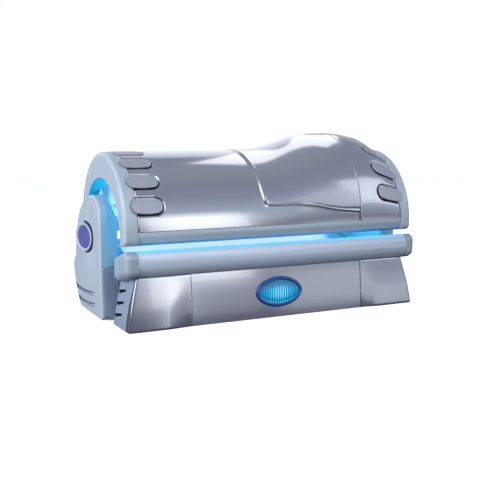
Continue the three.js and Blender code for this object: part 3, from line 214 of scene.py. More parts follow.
def makePair(name, part, finish, node="", **more):  # a part of the base's left end, and mirrored for the right
    nodes = both(node) if node else ["", ""]
    for title, shape, stood in zip(both(name), (part, mirrored(part)), nodes):
        makePiece(title, [shape], finish, "bed_base", [stood] if stood else (), **more)


# finishes: fine grain in the colour and bump, broad drift in the roughness, colours by the pieces' own marks
finishes = {}
grainLook = dict(fineDetail=3, colourFrom=0.32, colourTo=0.68, broadScale=5, broadDetail=4, roughFrom=0.3, roughTo=0.7)


def fillInputs(tree, node, inputs):  # each input set to its value, or linked where that is another node's socket
    for name, value in inputs.items():
        if isinstance(value, bpy.types.NodeSocket):
            tree.links.new(value, node.inputs[name])
        else:
            node.inputs[name].default_value = value


def addNode(tree, kind, inputs, **settings):  # a new node with its settings and its inputs
    node = tree.nodes.new("ShaderNode" + kind)
    for name, value in settings.items():
        setattr(node, name, value)
    fillInputs(tree, node, inputs)
    return node


def addRamp(tree, source, stops):  # colours by position, from the first stop to the last
    node = addNode(tree, "ValToRGB", {"Fac": source})
    dots = node.color_ramp.elements
    dots[0].position, dots[0].color = stops[0]
    dots[1].position, dots[1].color = stops[-1]
    for place, colour in stops[1:-1]:
        dots.new(place).color = colour
    return node.outputs["Color"]


# two tones mixed by fine noise, which also gives the bump; roughness between two values by broad noise
def grainFinish(name, slot, base, deep, grain, rough, bump, bumpDepth=0.0004, stretch=(1, 1, 1), metallic=0.0, coat=0.0,
                coatRough=0.05, alpha=1.0, masks=(), glow=None, glowMark="", glowPower=0.0):
    material = bpy.data.materials.new(name)
    material.use_nodes = True
    tree = material.node_tree
    coords = addNode(tree, "TexCoord", {})

    def noise(scale, detail, stretched):  # on the piece's own coordinates
        place = addNode(tree, "Mapping", {"Vector": coords.outputs["Object"], "Scale": stretched})
        texture = addNode(tree, "TexNoise", {"Vector": place.outputs["Vector"], "Scale": scale, "Detail": detail})
        return texture.outputs["Fac"]

    def markOf(title):  # the piece's own number at each vertex
        return addNode(tree, "Attribute", {}, attribute_name=title).outputs["Fac"]

    fine = noise(grain, grainLook["fineDetail"], stretch)
    broad = noise(grainLook["broadScale"], grainLook["broadDetail"], (1, 1, 1))
    colour = addRamp(tree, fine, [(grainLook["colourFrom"], deep), (grainLook["colourTo"], base)])
    for title, markColour in masks:  # another colour where the piece's own mark says so
        inputs = {"Factor": markOf(title), "A": colour, "B": markColour}
        colour = addNode(tree, "Mix", inputs, data_type="RGBA").outputs["Result"]
    drift = addNode(tree, "MapRange", {"Value": broad, "From Min": grainLook["roughFrom"], "To Min": rough[0],
                                       "From Max": grainLook["roughTo"], "To Max": rough[1]})
    relief = addNode(tree, "Bump", {"Height": fine, "Strength": bump, "Distance": bumpDepth})
    sockets = {"Base Color": colour, "Roughness": drift.outputs["Result"], "Normal": relief.outputs["Normal"],
               "Metallic": metallic, "Coat Weight": coat, "Coat Roughness": coatRough, "Alpha": alpha}
    if glow:  # light that varies over the piece, by its own mark or by the drift
        sockets["Emission Color"] = addRamp(tree, markOf(glowMark) if glowMark else broad, glow)
        sockets["Emission Strength"] = glowPower
    fillInputs(tree, tree.nodes["Principled BSDF"], sockets)
    finishes[name] = material


def satinFinish(name, red, green, blue, masks=()):  # moulded plastic with a little metal in it
    grainFinish(name, "satin_grey", tint(red, green, blue), tint(red - 10, green - 10, blue - 9), grain=700,
                rough=(0.40, 0.48), bump=0.08, metallic=0.22, masks=masks)


silver = dict(base=tint(196, 202, 214), deep=tint(178, 184, 197), grain=900, rough=(0.15, 0.18), bump=0.03,
              bumpDepth=0.0002, metallic=0.84, coat=1.0, coatRough=0.02)
grainFinish("silverPaint", "silver_shell", **silver)
grainFinish("silverPadded", "silver_shell", **silver, masks=[("padShade", tint(34, 34, 60))])
satinFinish("satinPlastic", 182, 198, 212)
# painted light: a lighter copy of the satin plastic for the front bumper
satinFinish("satinBumperPaintedLit", 206, 222, 242)
# tower cover finish: painted lamp light on its upper front, and painted shade in its grooves, on its lower front and
# round the hinge ring's rim
satinFinish("satinPaintedLightShade", 184, 199, 213, [("paintedLampLight", tint(150, 199, 219)), ("paintedShade", tint(62, 78, 118))])
# painted lamp light: cyan on the wall of the end ring's opening
satinFinish("satinRingPaintedLit", 182, 198, 212, [("ringPaintedLampLight", tint(4, 170, 196))])
# painted lamp light: blue on the front rail's underside
satinFinish("satinRailPaintedLit", 182, 198, 212, [("railPaintedLampLight", tint(4, 168, 205))])
# painted lamp light: a bluer copy of the satin plastic for the tower hoods
satinFinish("satinHoodPaintedLit", 158, 199, 217)
satinFinish("satinCap", 167, 184, 200)
satinFinish("satinShade", 147, 164, 192)
# painted shade: near black deep in the end panels' vents
satinFinish("satinVented", 149, 168, 187, [("ventPaintedShade", tint(14, 15, 22))])
grainFinish("padPlastic", "pad_grey", tint(169, 176, 191), tint(158, 165, 181), grain=1100, rough=(0.36, 0.46),
            bump=0.18, metallic=0.25)
grainFinish("frameSteel", "frame_steel", tint(150, 154, 160), tint(120, 124, 131), grain=180, rough=(0.38, 0.55),
            bump=0.06, metallic=0.85)
grainFinish("sheetMetal", "sheet_aluminium", tint(226, 229, 234), tint(205, 209, 215), grain=260, rough=(0.16, 0.26),
            bump=0.05, stretch=(0.05, 1, 1), metallic=0.9)
grainFinish("clearSheet", "clear_acrylic", tint(190, 216, 232), tint(180, 208, 226), grain=60, rough=(0.04, 0.09),
            bump=0.01, alpha=0.28)
grainFinish("litAcrylic", "clear_acrylic", tint(60, 170, 222), tint(50, 158, 214), grain=60, rough=(0.1, 0.18),
            bump=0.01, glow=[(0.3, tint(136, 206, 240)), (0.7, tint(150, 213, 244))], glowPower=0.6)
tube = dict(base=tint(110, 128, 138), deep=tint(98, 116, 128), grain=80, rough=(0.2, 0.3), bump=0.02,
            glowMark="lampEnd")
grainFinish("lampTube", "lamp_glass", **tube, glowPower=1.2,
            glow=[(0.0, tint(216, 233, 247)), (0.5, tint(150, 212, 246)), (1.0, tint(0, 130, 205))])
grainFinish("lampTubeTop", "lamp_glass", **tube, glowPower=8,
            glow=[(0.0, (0.085, 0.165, 0.215, 1)), (1.0, (0.05, 0.40, 0.60, 1))])
grainFinish("lampHolder", "lamp_glass", tint(225, 230, 236), tint(205, 211, 219), grain=500, rough=(0.4, 0.5),
            bump=0.08)
grainFinish("lampHolderLit", "lamp_glass", tint(150, 200, 225), tint(140, 190, 216), grain=500, rough=(0.4, 0.5),
            bump=0.08, glow=[(0.3, tint(158, 214, 240)), (0.7, tint(174, 224, 246))], glowPower=1.5)
grainFinish("blackPlastic", "black_plastic", tint(36, 38, 44), tint(24, 25, 30), grain=600, rough=(0.45, 0.6),
            bump=0.12)
grainFinish("purpleCap", "purple_cap", tint(96, 94, 156), tint(82, 80, 141), grain=800, rough=(0.3, 0.4), bump=0.08,
            coat=0.2)
grainFinish("bezelGloss", "bezel_blue", tint(50, 90, 164), tint(40, 76, 148), grain=300, rough=(0.2, 0.28), bump=0.02,
            metallic=0.1, coat=0.1)
grainFinish("lensGlow", "lens_cyan", tint(16, 84, 112), tint(10, 70, 98), grain=200, rough=(0.1, 0.16), bump=0.01,
            coat=0.4, glowMark="lensLight", glowPower=1.05,
            glow=[(0.0, tint(0, 34, 54)), (0.35, tint(0, 104, 150)), (0.7, tint(44, 172, 224)),
                  (1.0, tint(170, 232, 255))])
print("finishes:", len(finishes))

# canopy shells: an arch with a hump, a crease round the hump and a recess for each pad
arch = dict(middle=0.025, halfDepth=0.475, centre=0.589, rise=0.504, foot=0.6133, ringInner=0.984, shellEnd=0.978,
            seam=0.641, inside=0.012)
hump = dict(rise=0.120, start=-0.105, peak=0.570, end=0.984)
crease = dict(upX=[-0.128, -0.122, -0.114, -0.109, -0.107, -0.096], upZ=[1.09, 1.04, 0.977, 0.908, 0.83, 0.76],
              lowX=[-0.094, 0.048, 0.161, 0.29, 0.399, 0.511, 0.641],
              lowZ=[0.757, 0.762, 0.757, 0.745, 0.724, 0.709, 0.705],
              footX=[-0.094, 0.161, 0.29, 0.389, 0.469, 0.641], footZ=[0.750, 0.747, 0.731, 0.708, 0.694, 0.676],
              corner=0.036, step=0.0085, sink=0.012, bead=0.0060, beadWidth=0.0100, near=(-0.05, 0.38),
              far=(0.12, 0.42))
pads = dict(length=0.199, width=0.098, onRing=0.024, pitch=19.7, count=8, recess=0.0108, wallFrom=0.003, wallTo=0.019,
            proud=0.0030, drop=0.0125, crown=0.0015, edge=0.0032, steps=72, topSteps=9, edgeSteps=6)
padTurns = np.radians(90 + (np.arange(pads["count"]) - (pads["count"] - 1) / 2) * pads["pitch"])
padMiddle = arch["ringInner"] + pads["onRing"] - pads["length"] / 2
padSpine = (pads["length"] - pads["width"]) / 2
padRadius = pads["width"] / 2
shell = dict(gap=0.0003, wave=0.030, waveFrom=0.35, waveTo=0.80, lip=0.0028, lipRun=0.12, endDrop=0.003,
             footDrop=0.0008, footRun=0.0025, archLength=1.5, insideSteps=61,
             edgeRun=np.array([0, 0.0008, 0.0018, 0.003, 0.0045]))


def riseAt(x):  # height of the arch: smootherstep up the hump's front slope, a cubic fall behind its peak
    climb = np.clip((x - hump["start"]) / (hump["peak"] - hump["start"]), 0, 1)
    up = climb ** 3 * (climb * (6 * climb - 15) + 10)
    fall = np.clip((x - hump["peak"]) / (hump["end"] - hump["peak"]), 0, 1)
    return arch["rise"] + hump["rise"] * np.where(x < hump["peak"], up, 1 - fall ** 3)


def archPoint(x, angle, lift):  # half ellipse over the bed at x, moved out along its normal by lift
    up = riseAt(x)
    ny = np.cos(angle) / arch["halfDepth"]
    nz = np.sin(angle) / up
    size = np.hypot(ny, nz)
    y = arch["middle"] + arch["halfDepth"] * np.cos(angle) + lift * ny / size
    return placed(x, y, arch["centre"] + up * np.sin(angle) + lift * nz / size)


def archTurn(x, y, z):  # the half ellipse's angle at a point
    return np.arctan2((z - arch["centre"]) / riseAt(x), (y - arch["middle"]) / arch["halfDepth"])


def archRun(x, angle):  # length along the half ellipse per radian of its angle
    return np.hypot(arch["halfDepth"] * np.sin(angle), riseAt(x) * np.cos(angle))


def creaseLift(x, z):  # panel raised inside a line round the hump, a bead on the line, and a strip that sinks below it
    left = x - np.interp(z, crease["upZ"][::-1], crease["upX"][::-1])
    top = softMin(left, z - np.interp(x, crease["lowX"], crease["lowZ"]), crease["corner"])
    foot = softMin(left, z - np.interp(x, crease["footX"], crease["footZ"]), crease["corner"])
    far = ease(*crease["far"], x)
    panel = crease["step"] * (1 - ease(*crease["near"], x)) * ease(-0.013, 0.011, top)
    strip = crease["sink"] * far * (1 - 0.6 * ease(-0.007, 0.005, foot) - 0.4 * ease(-0.006, 0.004, top))
    bead = crease["bead"] * (1 - 0.6 * far) * np.exp(-(foot / crease["beadWidth"]) ** 2)
    return panel - strip + bead


def padRecess(x, angle):  # sinks inside a stadium round each pad: the distance to its middle line less its half width
    across = np.abs((angle[..., None] - padTurns) * archRun(x, angle)[..., None]).min(-1)
    over = np.maximum(np.abs(np.abs(x) - padMiddle) - padSpine, 0)
    away = np.hypot(over, across) - padRadius
    return pads["recess"] * (1 - ease(pads["wallFrom"], pads["wallTo"], away))


def padShade(x, y, z):  # 1 on the recess floor just below and inside each pad, 0 elsewhere
    angle = archTurn(x, y, z)
    across = (angle[:, None] - padTurns) * archRun(x, angle)[:, None]
    nearest = np.abs(across).argmin(1)
    down = across[np.arange(len(x)), nearest] * np.sign(padTurns[nearest] - np.pi / 2)
    inward = padMiddle - np.abs(x)
    inward = np.sign(inward) * np.maximum(np.abs(inward) - padSpine, 0)
    size = np.hypot(inward, down) + 1e-6
    away = size - padRadius
    return ease(-0.1, 0.5, (0.6 * inward + 0.8 * down) / size) * (1 - ease(0.006, 0.013, away)) * (away > -0.02)


def shellPart(xs, shares, creased):  # arch sections along X, outside then back along the inside
    x = xs[:, None]
    start = np.arcsin((arch["foot"] - arch["centre"]) / riseAt(x))
    angle = start + shares[None] * (np.pi - 2 * start)
    ends = x - xs[0] if creased else np.minimum(x - xs[0], xs[-1] - x)
    foot = np.minimum(shares, 1 - shares)[None] * shell["archLength"]
    lift = -padRecess(x, angle) - shell["endDrop"] * (1 - ease(0, shell["edgeRun"][-1], ends))
    lift = lift - shell["footDrop"] * (1 - ease(0, shell["footRun"], foot))
    if creased:
        lift = lift + creaseLift(x, arch["centre"] + riseAt(x) * np.sin(angle))
    else:
        lift = lift + shell["lip"] * (1 - ease(arch["seam"], arch["seam"] + shell["lipRun"], x))
    near = ease(shell["waveFrom"], arch["seam"], x) * (1 - ease(arch["seam"] + 0.001, shell["waveTo"], x))
    outer = archPoint(x - shell["wave"] * near * np.sin(angle) ** 6, angle, lift)
    back = np.linspace(1, 0, shell["insideSteps"])[None]
    inner = archPoint(x, start + back * (np.pi - 2 * start), -arch["inside"])
    return skin(np.concatenate([outer, inner], 1), False, len(shares))


lowShares = spaced((0, 0.012, 0.003), (0.012, 0.125, 0.0018), (0.125, 0.5, 0.0036))
mainShares = np.unique(np.round(np.concatenate([[0.0008, 0.0016], lowShares, 1 - lowShares, [0.9984, 0.9992]]), 6))
rightShares = spaced((0, 1, 0.0034))
edgeRun = shell["edgeRun"]
mainXs = np.concatenate([-arch["shellEnd"] + edgeRun,
                         spaced((-0.970, -0.785, 0.0048), (-0.785, -0.16, 0.05), (-0.16, -0.07, 0.0028),
                                (-0.07, 0.634, 0.014)),
                         arch["seam"] - shell["gap"] - edgeRun[::-1]])
rightXs = np.concatenate([arch["seam"] + shell["gap"] + edgeRun, spaced((0.650, 0.785, 0.015), (0.785, 0.970, 0.0048)),
                          arch["shellEnd"] - edgeRun[::-1]])
padded = dict(finish="silverPadded", body="canopy", sharp=50, marks={"padShade": padShade})
makePiece("canopyShellMain", [shellPart(mainXs, mainShares, True)], nodes=["canopy_shell_main"], **padded)
makePiece("canopyShellRight", [shellPart(rightXs, rightShares, False)], nodes=["canopy_shell_right"], **padded)


def padPart(side):  # stadiums: rings drawn in to a middle line, lifted by a rounded profile, bent on the arch
    turn = np.linspace(0, 2 * np.pi, pads["steps"], endpoint=False)
    spine = np.clip(padSpine * 1.8 * np.cos(turn), -padSpine, padSpine)
    corner = np.linspace(0, np.pi / 2, pads["edgeSteps"])
    edge = pads["edge"] / padRadius
    flat = np.linspace(0, 1 - edge, pads["topSteps"])[:-1]
    under = -pads["drop"] - 0.001
    share = np.concatenate([flat, 1 - edge + edge * np.sin(corner), [1.0, 0.97, 0.0]])
    level = np.concatenate([0 * flat, pads["edge"] * (np.cos(corner) - 1), [-pads["drop"], under, under]])
    top = pads["proud"] + level + pads["crown"] * (1 - share ** 2) * (level > -0.0001)
    v = padRadius * share[None, :, None] * np.sin(turn)
    x = side * (padMiddle + spine + padRadius * share[None, :, None] * np.cos(turn))
    middle = padTurns[:, None, None]
    points = archPoint(x, middle + v / archRun(x, middle), top[None, :, None])
    count, rows, cols = points.shape[:3]
    faces = gridFaces(rows, cols, False, True)[None] + (np.arange(count) * rows * cols)[:, None, None]
    return points.reshape(-1, 3), faces.reshape(-1, 4), []


band = dict(near=0.9760, far=0.9856, top=-0.0114, under=-0.0165, margin=0.05, steps=120)


def bandPart(side):  # thin strip in the groove between shell and ring: four corners carried over the arch
    angle = np.linspace(band["margin"], np.pi - band["margin"], band["steps"])[:, None]
    x = side * np.array([band[key] for key in ("near", "far", "far", "near")])
    return skin(archPoint(x, angle, np.array([band[key] for key in ("top", "top", "under", "under")])))


for side, name in ((-1, "left"), (1, "right")):
    makePiece("padTrim_" + name, [padPart(side), bandPart(side)], "padPlastic", "canopy", ["canopy_trim_" + name],
              sharp=60)
print("canopy shells and pads")

# canopy end rings and rails
ring = dict(face=1.074, back=0.9843, opening=(0.025, 0.532), openRadius=0.390, bottom=0.528, round=0.040,
            innerEdge=0.012, outerEdge=0.031, lean=0.004, ends=0.006, lit=(0.001, 0.005), count=320)


def ringEdges():  # inner edge: the round opening; outer edge: rounded feet, short uprights and the arch
    dip = np.arcsin((ring["opening"][1] - ring["bottom"]) / ring["openRadius"])
    inner = onCircle(ring["opening"], ring["openRadius"], np.linspace(np.pi + dip, -dip, 400))
    toe = (arch["middle"] - arch["halfDepth"] + ring["round"], ring["bottom"] + ring["round"])
    foot = onCircle(toe, ring["round"], np.linspace(1.5 * np.pi, np.pi, 20))
    top = onCircle((arch["middle"], arch["centre"]), (arch["halfDepth"], arch["rise"]), np.linspace(np.pi, 0, 500))
    rearFoot = foot[::-1] * [-1, 1] + [2 * arch["middle"], 0]
    return along(inner, ring["count"]), along(np.vstack([foot, top, rearFoot]), ring["count"])


def ringPart():  # a rounded section spanning from the opening to the outer edge, carried round the arch
    inner, outer = ringEdges()
    width = np.linalg.norm(outer - inner, axis=1)[:, None]
    reach = unit(outer - inner)[:, None]
    depth = ring["face"] - ring["back"]
    a = np.linspace(np.pi, 1.5 * np.pi, 7)
    b = np.linspace(1.5 * np.pi, 2 * np.pi, 10)
    r1, r2 = ring["innerEdge"], ring["outerEdge"]
    wall = np.linspace(r2, depth, 16)[1:]
    across = np.concatenate([[0], r1 + r1 * np.cos(a), -r2 + r2 * np.cos(b), 0 * wall])
    behind = np.concatenate([[depth], r1 + r1 * np.sin(a), r2 + r2 * np.sin(b) + ring["lean"] * (1 - np.cos(b)), wall])
    onOuter = np.concatenate([np.zeros(8), np.ones(10 + len(wall))])
    yz = inner[:, None] + reach * (across + onOuter * width)[..., None]
    x = behind[None] - ring["face"]
    angle = archTurn(x, yz[..., 0], yz[..., 1])
    sink = padRecess(x, angle) * onOuter * ease(-0.01, 0.01, angle)
    yz = yz - reach * sink[..., None]
    return skin(endsEased(placed(x, yz[..., 0], yz[..., 1]), ring["ends"]))


def ringPaintedLampLight(x, y, z):  # painted lamp light: 1 on the wall of the opening, where the lamps shine on it
    away = np.hypot(y - ring["opening"][0], z - ring["opening"][1]) - ring["openRadius"]
    return 1 - ease(*ring["lit"], away)


for name, part in (("left", ringPart()), ("right", mirrored(ringPart()))):
    makePiece("endRing_" + name, [part], "satinRingPaintedLit", "canopy", ["canopy_end_ring_" + name], sharp=60,
              marks={"ringPaintedLampLight": ringPaintedLampLight})
rail = dict(half=0.9838, edge=0.004, ends=0.003, lit=(0.535, 0.550), radii=[0.003, 0.003, 0.0025, 0.060, 0.028, 0.012],
            corners=[(-0.362, 0.528), (-0.362, 0.613), (-0.4485, 0.613), (-0.4515, 0.586), (-0.437, 0.546),
                     (-0.408, 0.528)])
railOutline = rounded(rail["corners"], rail["radii"], 7)
# painted lamp light on the rail's underside, below the lit height
makePiece("canopyFrontRail", [bar(railOutline, rail)], "satinRailPaintedLit", "canopy", ["canopy_front_rail"],
          marks={"railPaintedLampLight": lambda x, y, z: 1 - ease(*rail["lit"], z)})
railOutline = railOutline * [-1, 1] + [2 * arch["middle"], 0]
makePiece("canopyRearRail", [bar(railOutline, rail)], "satinPlastic", "canopy", ["canopy_rear_rail"])
print("rings and rails")

# shield, reflector and lamps of the canopy, then the bench's
lamps = dict(rows=[-0.84, -0.81, -0.78, -0.75, -0.70, -0.4, 0.0, 0.4, 0.70, 0.75, 0.78, 0.81, 0.84], radius=0.019,
             half=0.880, tip=0.022, cup=0.004, neck=0.45, sides=28, canopyCount=12, canopyCircle=0.430, lowest=0.1185,
             benchCount=9, benchMargin=0.050, canopyHolder=(0.410, 0.449), benchHolder=0.022, holderMargin=0.030,
             liningSteps=81, holderSteps=61, benchHolderSteps=41, holderXs=np.array([0.876, 0.879, 0.885, 0.888]))
linings = dict(Shield=((0.402, 0.406), 0.978, "clearSheet"), Reflector=((0.452, 0.4545), 0.974, "sheetMetal"))
bench = dict(front=-0.430, rear=0.2997, edge=0.470, sag=0.075, sheet=0.005, half=0.977, lampGap=0.010, steps=49)
upTurn, downTurn = np.pi / 2, 1.5 * np.pi


def arcStrip(radii, centre, middle, half, steps, xs):  # band between two arcs about a middle turn, carried along X
    a = np.linspace(middle - half, middle + half, steps)
    arcs = np.vstack([onCircle(centre, radii[1], a), onCircle(centre, radii[0], a[::-1])])
    return skin(alongX(arcs, xs), False, steps)


def lampTubes(seats):  # a round tube at each seat: one profile of radius along X, turned about its own axis
    r, h, t = lamps["radius"], lamps["half"], lamps["tip"]
    k = np.linspace(0, np.pi / 2, 5)
    body = [-h + t, -h + t + 0.003, *lamps["rows"], h - t - 0.003, h - t]
    cup = lamps["cup"] * (1 - np.sin(k))
    end = r * (1 - lamps["neck"] * np.cos(k))
    profile = np.stack([np.concatenate([-h + cup, body, h - cup[::-1]]),
                        np.concatenate([end, [r] * len(body), end[::-1]])], -1)
    return [skin(lathe(profile, seat, lamps["sides"]).swapaxes(0, 1)) for seat in seats]


def canopyTurn(radius):  # half the turn that an arc about the opening spans above the shell's foot
    return np.pi / 2 - np.arcsin((arch["foot"] - ring["opening"][1]) / radius)


def benchTurn(radius, margin):  # half the turn that an arc of the bench spans, less a margin at each edge
    return np.arcsin((benchHalf - margin) / radius)


for name, (radii, half, finish) in linings.items():
    strip = arcStrip(radii, ring["opening"], upTurn, canopyTurn(radii[0]), lamps["liningSteps"],
                     np.linspace(-half, half, 9))
    makePiece("canopy" + name, [strip], finish, "canopy", ["canopy_" + name.lower()])
seatTurn = np.arcsin(lamps["lowest"] / lamps["canopyCircle"])
seats = onCircle(ring["opening"], lamps["canopyCircle"], np.linspace(seatTurn, np.pi - seatTurn, lamps["canopyCount"]))
makePiece("canopyLamps", lampTubes(seats), "lampTubeTop", "canopy", ["canopy_lamp_bank"],
          marks={"lampEnd": lambda x, y, z: ease(0.70, 0.86, np.abs(x))})
radii = lamps["canopyHolder"]
holders = [arcStrip(radii, ring["opening"], upTurn, canopyTurn(radii[0]), lamps["holderSteps"],
                    side * lamps["holderXs"]) for side in (-1, 1)]
makePiece("canopyLampHolders", holders, "lampHolderLit", "canopy", bevel=0.001)

benchHalf = (bench["rear"] - bench["front"]) / 2
benchRadius = (benchHalf ** 2 + bench["sag"] ** 2) / (2 * bench["sag"])
benchCentre = ((bench["rear"] + bench["front"]) / 2, bench["edge"] - bench["sag"] + benchRadius)
sheet = arcStrip((benchRadius, benchRadius + bench["sheet"]), benchCentre, downTurn, benchTurn(benchRadius, 0),
                 bench["steps"], np.linspace(-bench["half"], bench["half"], 9))
makePiece("benchSheet", [sheet], "clearSheet", "bed_base", ["bench_acrylic"], bevel=0.0015)
lip = dict(half=0.9975, edge=0.0025, ends=0.002, radii=[0.001, 0.001, 0.001, 0.001, 0.001, 0.003, 0.010],
           corners=[(-0.426, 0.4755), (-0.426, 0.4705), (-0.4385, 0.4705), (-0.4385, 0.4890), (-0.4660, 0.4890),
                    (-0.4680, 0.5020), (-0.4480, 0.5020)])
makePiece("benchLip", [bar(rounded(lip["corners"], lip["radii"], 5), lip)], "litAcrylic", "bed_base")
lampRing = benchRadius + bench["sheet"] + bench["lampGap"] + lamps["radius"]
radii = (lampRing - lamps["benchHolder"], lampRing + lamps["benchHolder"])
holders = [arcStrip(radii, benchCentre, downTurn, benchTurn(lampRing, lamps["holderMargin"]), lamps["benchHolderSteps"],
                    side * lamps["holderXs"]) for side in (-1, 1)]
makePiece("benchLampHolders", holders, "lampHolder", "bed_base", bevel=0.001)
seatTurn = np.linspace(-1, 1, lamps["benchCount"]) * benchTurn(lampRing, lamps["benchMargin"])
seats = onCircle(benchCentre, lampRing, downTurn + seatTurn)
makePiece("benchLamps", lampTubes(seats), "lampTube", "bed_base", ["bench_lamp_bank"],
          marks={"lampEnd": lambda x, y, z: ease(0.74, 0.82, x) + 0.3 * ease(0.82, 0.86, -x)})
print("lamps, shield and bench sheet")

# how the base's skirt lies
skirt = dict(front=-0.467, lean=0.024, height=0.336, low=0.003, high=0.3357, wall=0.005, seam=0.6408, end=1.000,
             flare=0.066, cornerRadius=0.018, cornerEnd=-0.427, edge=0.003, bulge=0.003)


def frontAt(z):  # the skirt's face leans back as it rises
    return skirt["front"] + skirt["lean"] * z / skirt["height"]


def bulgeAt(z):  # a shallow parabola, fullest at mid height
    share = np.clip((z - skirt["low"]) / (skirt["high"] - skirt["low"]), 0, 1)
    return 4 * skirt["bulge"] * share * (1 - share)


def endAt(z):  # each end spreads towards the floor, a little bellied
    return skirt["end"] + skirt["flare"] * (1 - np.clip(z / skirt["height"], 0, 1) ** 1.45)


# bumper, its end caps and the bench's rear rail
bumper = dict(half=0.99785, edge=0.002, ends=0.002, back=[(-0.440, 0.3365), (-0.440, 0.488)],
              nose=[(-0.466, 0.488), (-0.4825, 0.4815), (-0.4910, 0.4700), (-0.4935, 0.4625), (-0.4960, 0.4608),
                    (-0.4988, 0.449), (-0.500, 0.431), (-0.4985, 0.410), (-0.4915, 0.386), (-0.4790, 0.364),
                    (-0.4640, 0.346), (-0.452, 0.3365)])
bumperOutline = np.vstack([bumper["back"], splineThrough(bumper["nose"], 5)])
makePiece("frontBumper", [bar(bumperOutline, bumper)], "satinBumperPaintedLit", "bed_base", ["front_bumper"])
cap = dict(seam=0.99815, outer=1.080, front=-0.500, middle=-0.36, rear=-0.230, corner=0.050, rearCorner=0.046,
           bottom=0.3365, droop=0.052, droopFrom=-0.475, droopTo=-0.22, lowEdge=0.050, topEdge=0.026, gap=0.0012,
           topY=[-0.5, -0.472, -0.450, -0.437, -0.420, -0.23], topZ=[0.485, 0.488, 0.4975, 0.4995, 0.496, 0.435])


def capFloor(y):  # the cap hangs lower along its side, towards the rear
    return cap["bottom"] - cap["droop"] * ease(cap["droopFrom"], cap["droopTo"], y)


def capTop(y):  # straight lines between the heights along the top
    return np.interp(y, cap["topY"], cap["topZ"])


def capInside(z):  # the seam plane, or below the bumper the face of the end panel
    return np.maximum(cap["seam"], (endAt(z) + cap["gap"]) * (z < cap["bottom"] - 0.003))


def capPart():  # an upright rounded profile carried round the plan, with the top sloping by Y, closed on the seam plane
    r1, r2 = cap["corner"], cap["rearCorner"]
    turn = onCircle((-cap["outer"] + r1, cap["front"] + r1), r1, np.linspace(1.5 * np.pi, np.pi, 24))
    back = onCircle((-cap["outer"] + r2, cap["rear"] - r2), r2, np.linspace(np.pi, 0.5 * np.pi, 18))
    plan = along(np.vstack([[[-cap["seam"], cap["front"]]], turn, back, [[-cap["seam"], cap["rear"]]]]), 110)
    inward = unit(np.gradient(plan, axis=0)[:, ::-1] * [-1, 1])
    inward *= np.sign((inward * ([-cap["seam"], cap["middle"]] - plan)).sum(1).mean())
    k = np.linspace(0, np.pi / 2, 9)
    low, high = cap["lowEdge"], cap["topEdge"]
    inset = np.concatenate([low * (1 - np.sin(k)), [0] * 6, high * (1 - np.cos(k))])
    bend = np.concatenate([low * (1 - np.cos(k)), np.zeros(6), high * (np.sin(k) - 1)])
    share = np.concatenate([np.zeros(9), np.linspace(0.1, 0.9, 6), np.ones(9)])
    xy = plan[:, None] + inward[:, None] * inset[None, :, None]
    floor, top = capFloor(xy[..., 1]), capTop(xy[..., 1])
    z = floor + low + share * (top - high - floor - low)
    z = np.where(share == 0, floor + bend, np.where(share == 1, top + bend, z))
    wall = placed(np.minimum(xy[..., 0], -capInside(z)), xy[..., 1], z)
    lineY = np.linspace(cap["front"] + 0.03, cap["rear"] - 0.03, len(plan))
    topLine = placed(-cap["seam"], lineY, capTop(lineY))
    lowLine = placed(-capInside(capFloor(lineY)), lineY, capFloor(lineY))
    return skin(np.concatenate([lowLine[:, None], wall, topLine[:, None]], 1))


makePair("bumperCap", capPart(), "satinCap", "bumper_cap", sharp=60)
rearRail = dict(half=0.985, edge=0.003, ends=0.003, radii=[0.002, 0.003, 0.010, 0.008],
                corners=[(0.300, 0.3365), (0.325, 0.3365), (0.325, 0.485), (0.300, 0.485)])
makePiece("benchRearRail", [bar(rounded(rearRail["corners"], rearRail["radii"], 6), rearRail)], "satinPlastic",
          "bed_base", ["rear_bench_rail"])
print("bumper and caps")

# skirt panels
lens = dict(middle=-0.010, height=0.172, halfWidth=0.154, halfHeight=0.081, point=1.85, bezel=0.021, dome=0.016,
            flutes=17.5, fluteDepth=0.0026, gap=0.003, clear=0.0004)


def ovalEdge(angle, grow):  # superellipse, a little pointed at its ends
    c, s = np.cos(angle), np.sin(angle)
    power = 2 / lens["point"]
    return np.stack([(lens["halfWidth"] + grow) * np.sign(c) * np.abs(c) ** power,
                     (lens["halfHeight"] + grow) * np.sign(s) * np.abs(s) ** power], -1)


def centrePanelPart():  # rays from the lens opening to the panel's edge, folded round the edge and back behind
    w, low, high, edge = skirt["seam"], skirt["low"], skirt["high"], skirt["edge"]
    corners = [(-w, low), (w, low), (w, high), (-w, high), (-w, low)]
    rim = np.vstack([np.linspace(a, b, count)[:-1] for a, b, count in zip(corners, corners[1:], (90, 24, 90, 24))])
    middle = np.array([lens["middle"], lens["height"]])
    angle = np.arctan2((rim[:, 1] - middle[1]) / 0.16, (rim[:, 0] - middle[0]) / w)
    hole = middle + ovalEdge(angle, lens["gap"])

    def within(inset):  # the rim, kept inside the panel by an inset
        return np.clip(rim, [-w + inset, low + inset], [w - inset, high - inset])

    rows = [(hole, skirt["wall"])]
    rows += [(hole + (within(edge) - hole) * k, 0) for k in np.append(np.linspace(0, 0.95, 14), [0.98, 0.993, 1])]
    rows += [(within(0.3 * edge), 0.3 * edge), (rim, edge), (rim, skirt["wall"])]
    rings = [placed(p[:, 0], frontAt(p[:, 1]) - bulgeAt(p[:, 1]) + back, p[:, 1]) for p, back in rows]
    return skin(np.stack(rings, 1), True)


swell = dict(top=-0.443, knee=0.109, soft=0.2133, slope=0.160, seam=0.0183, seamTo=0.4227, seamFall=1.1457, bow=0.002,
             bowAt=0.5819)


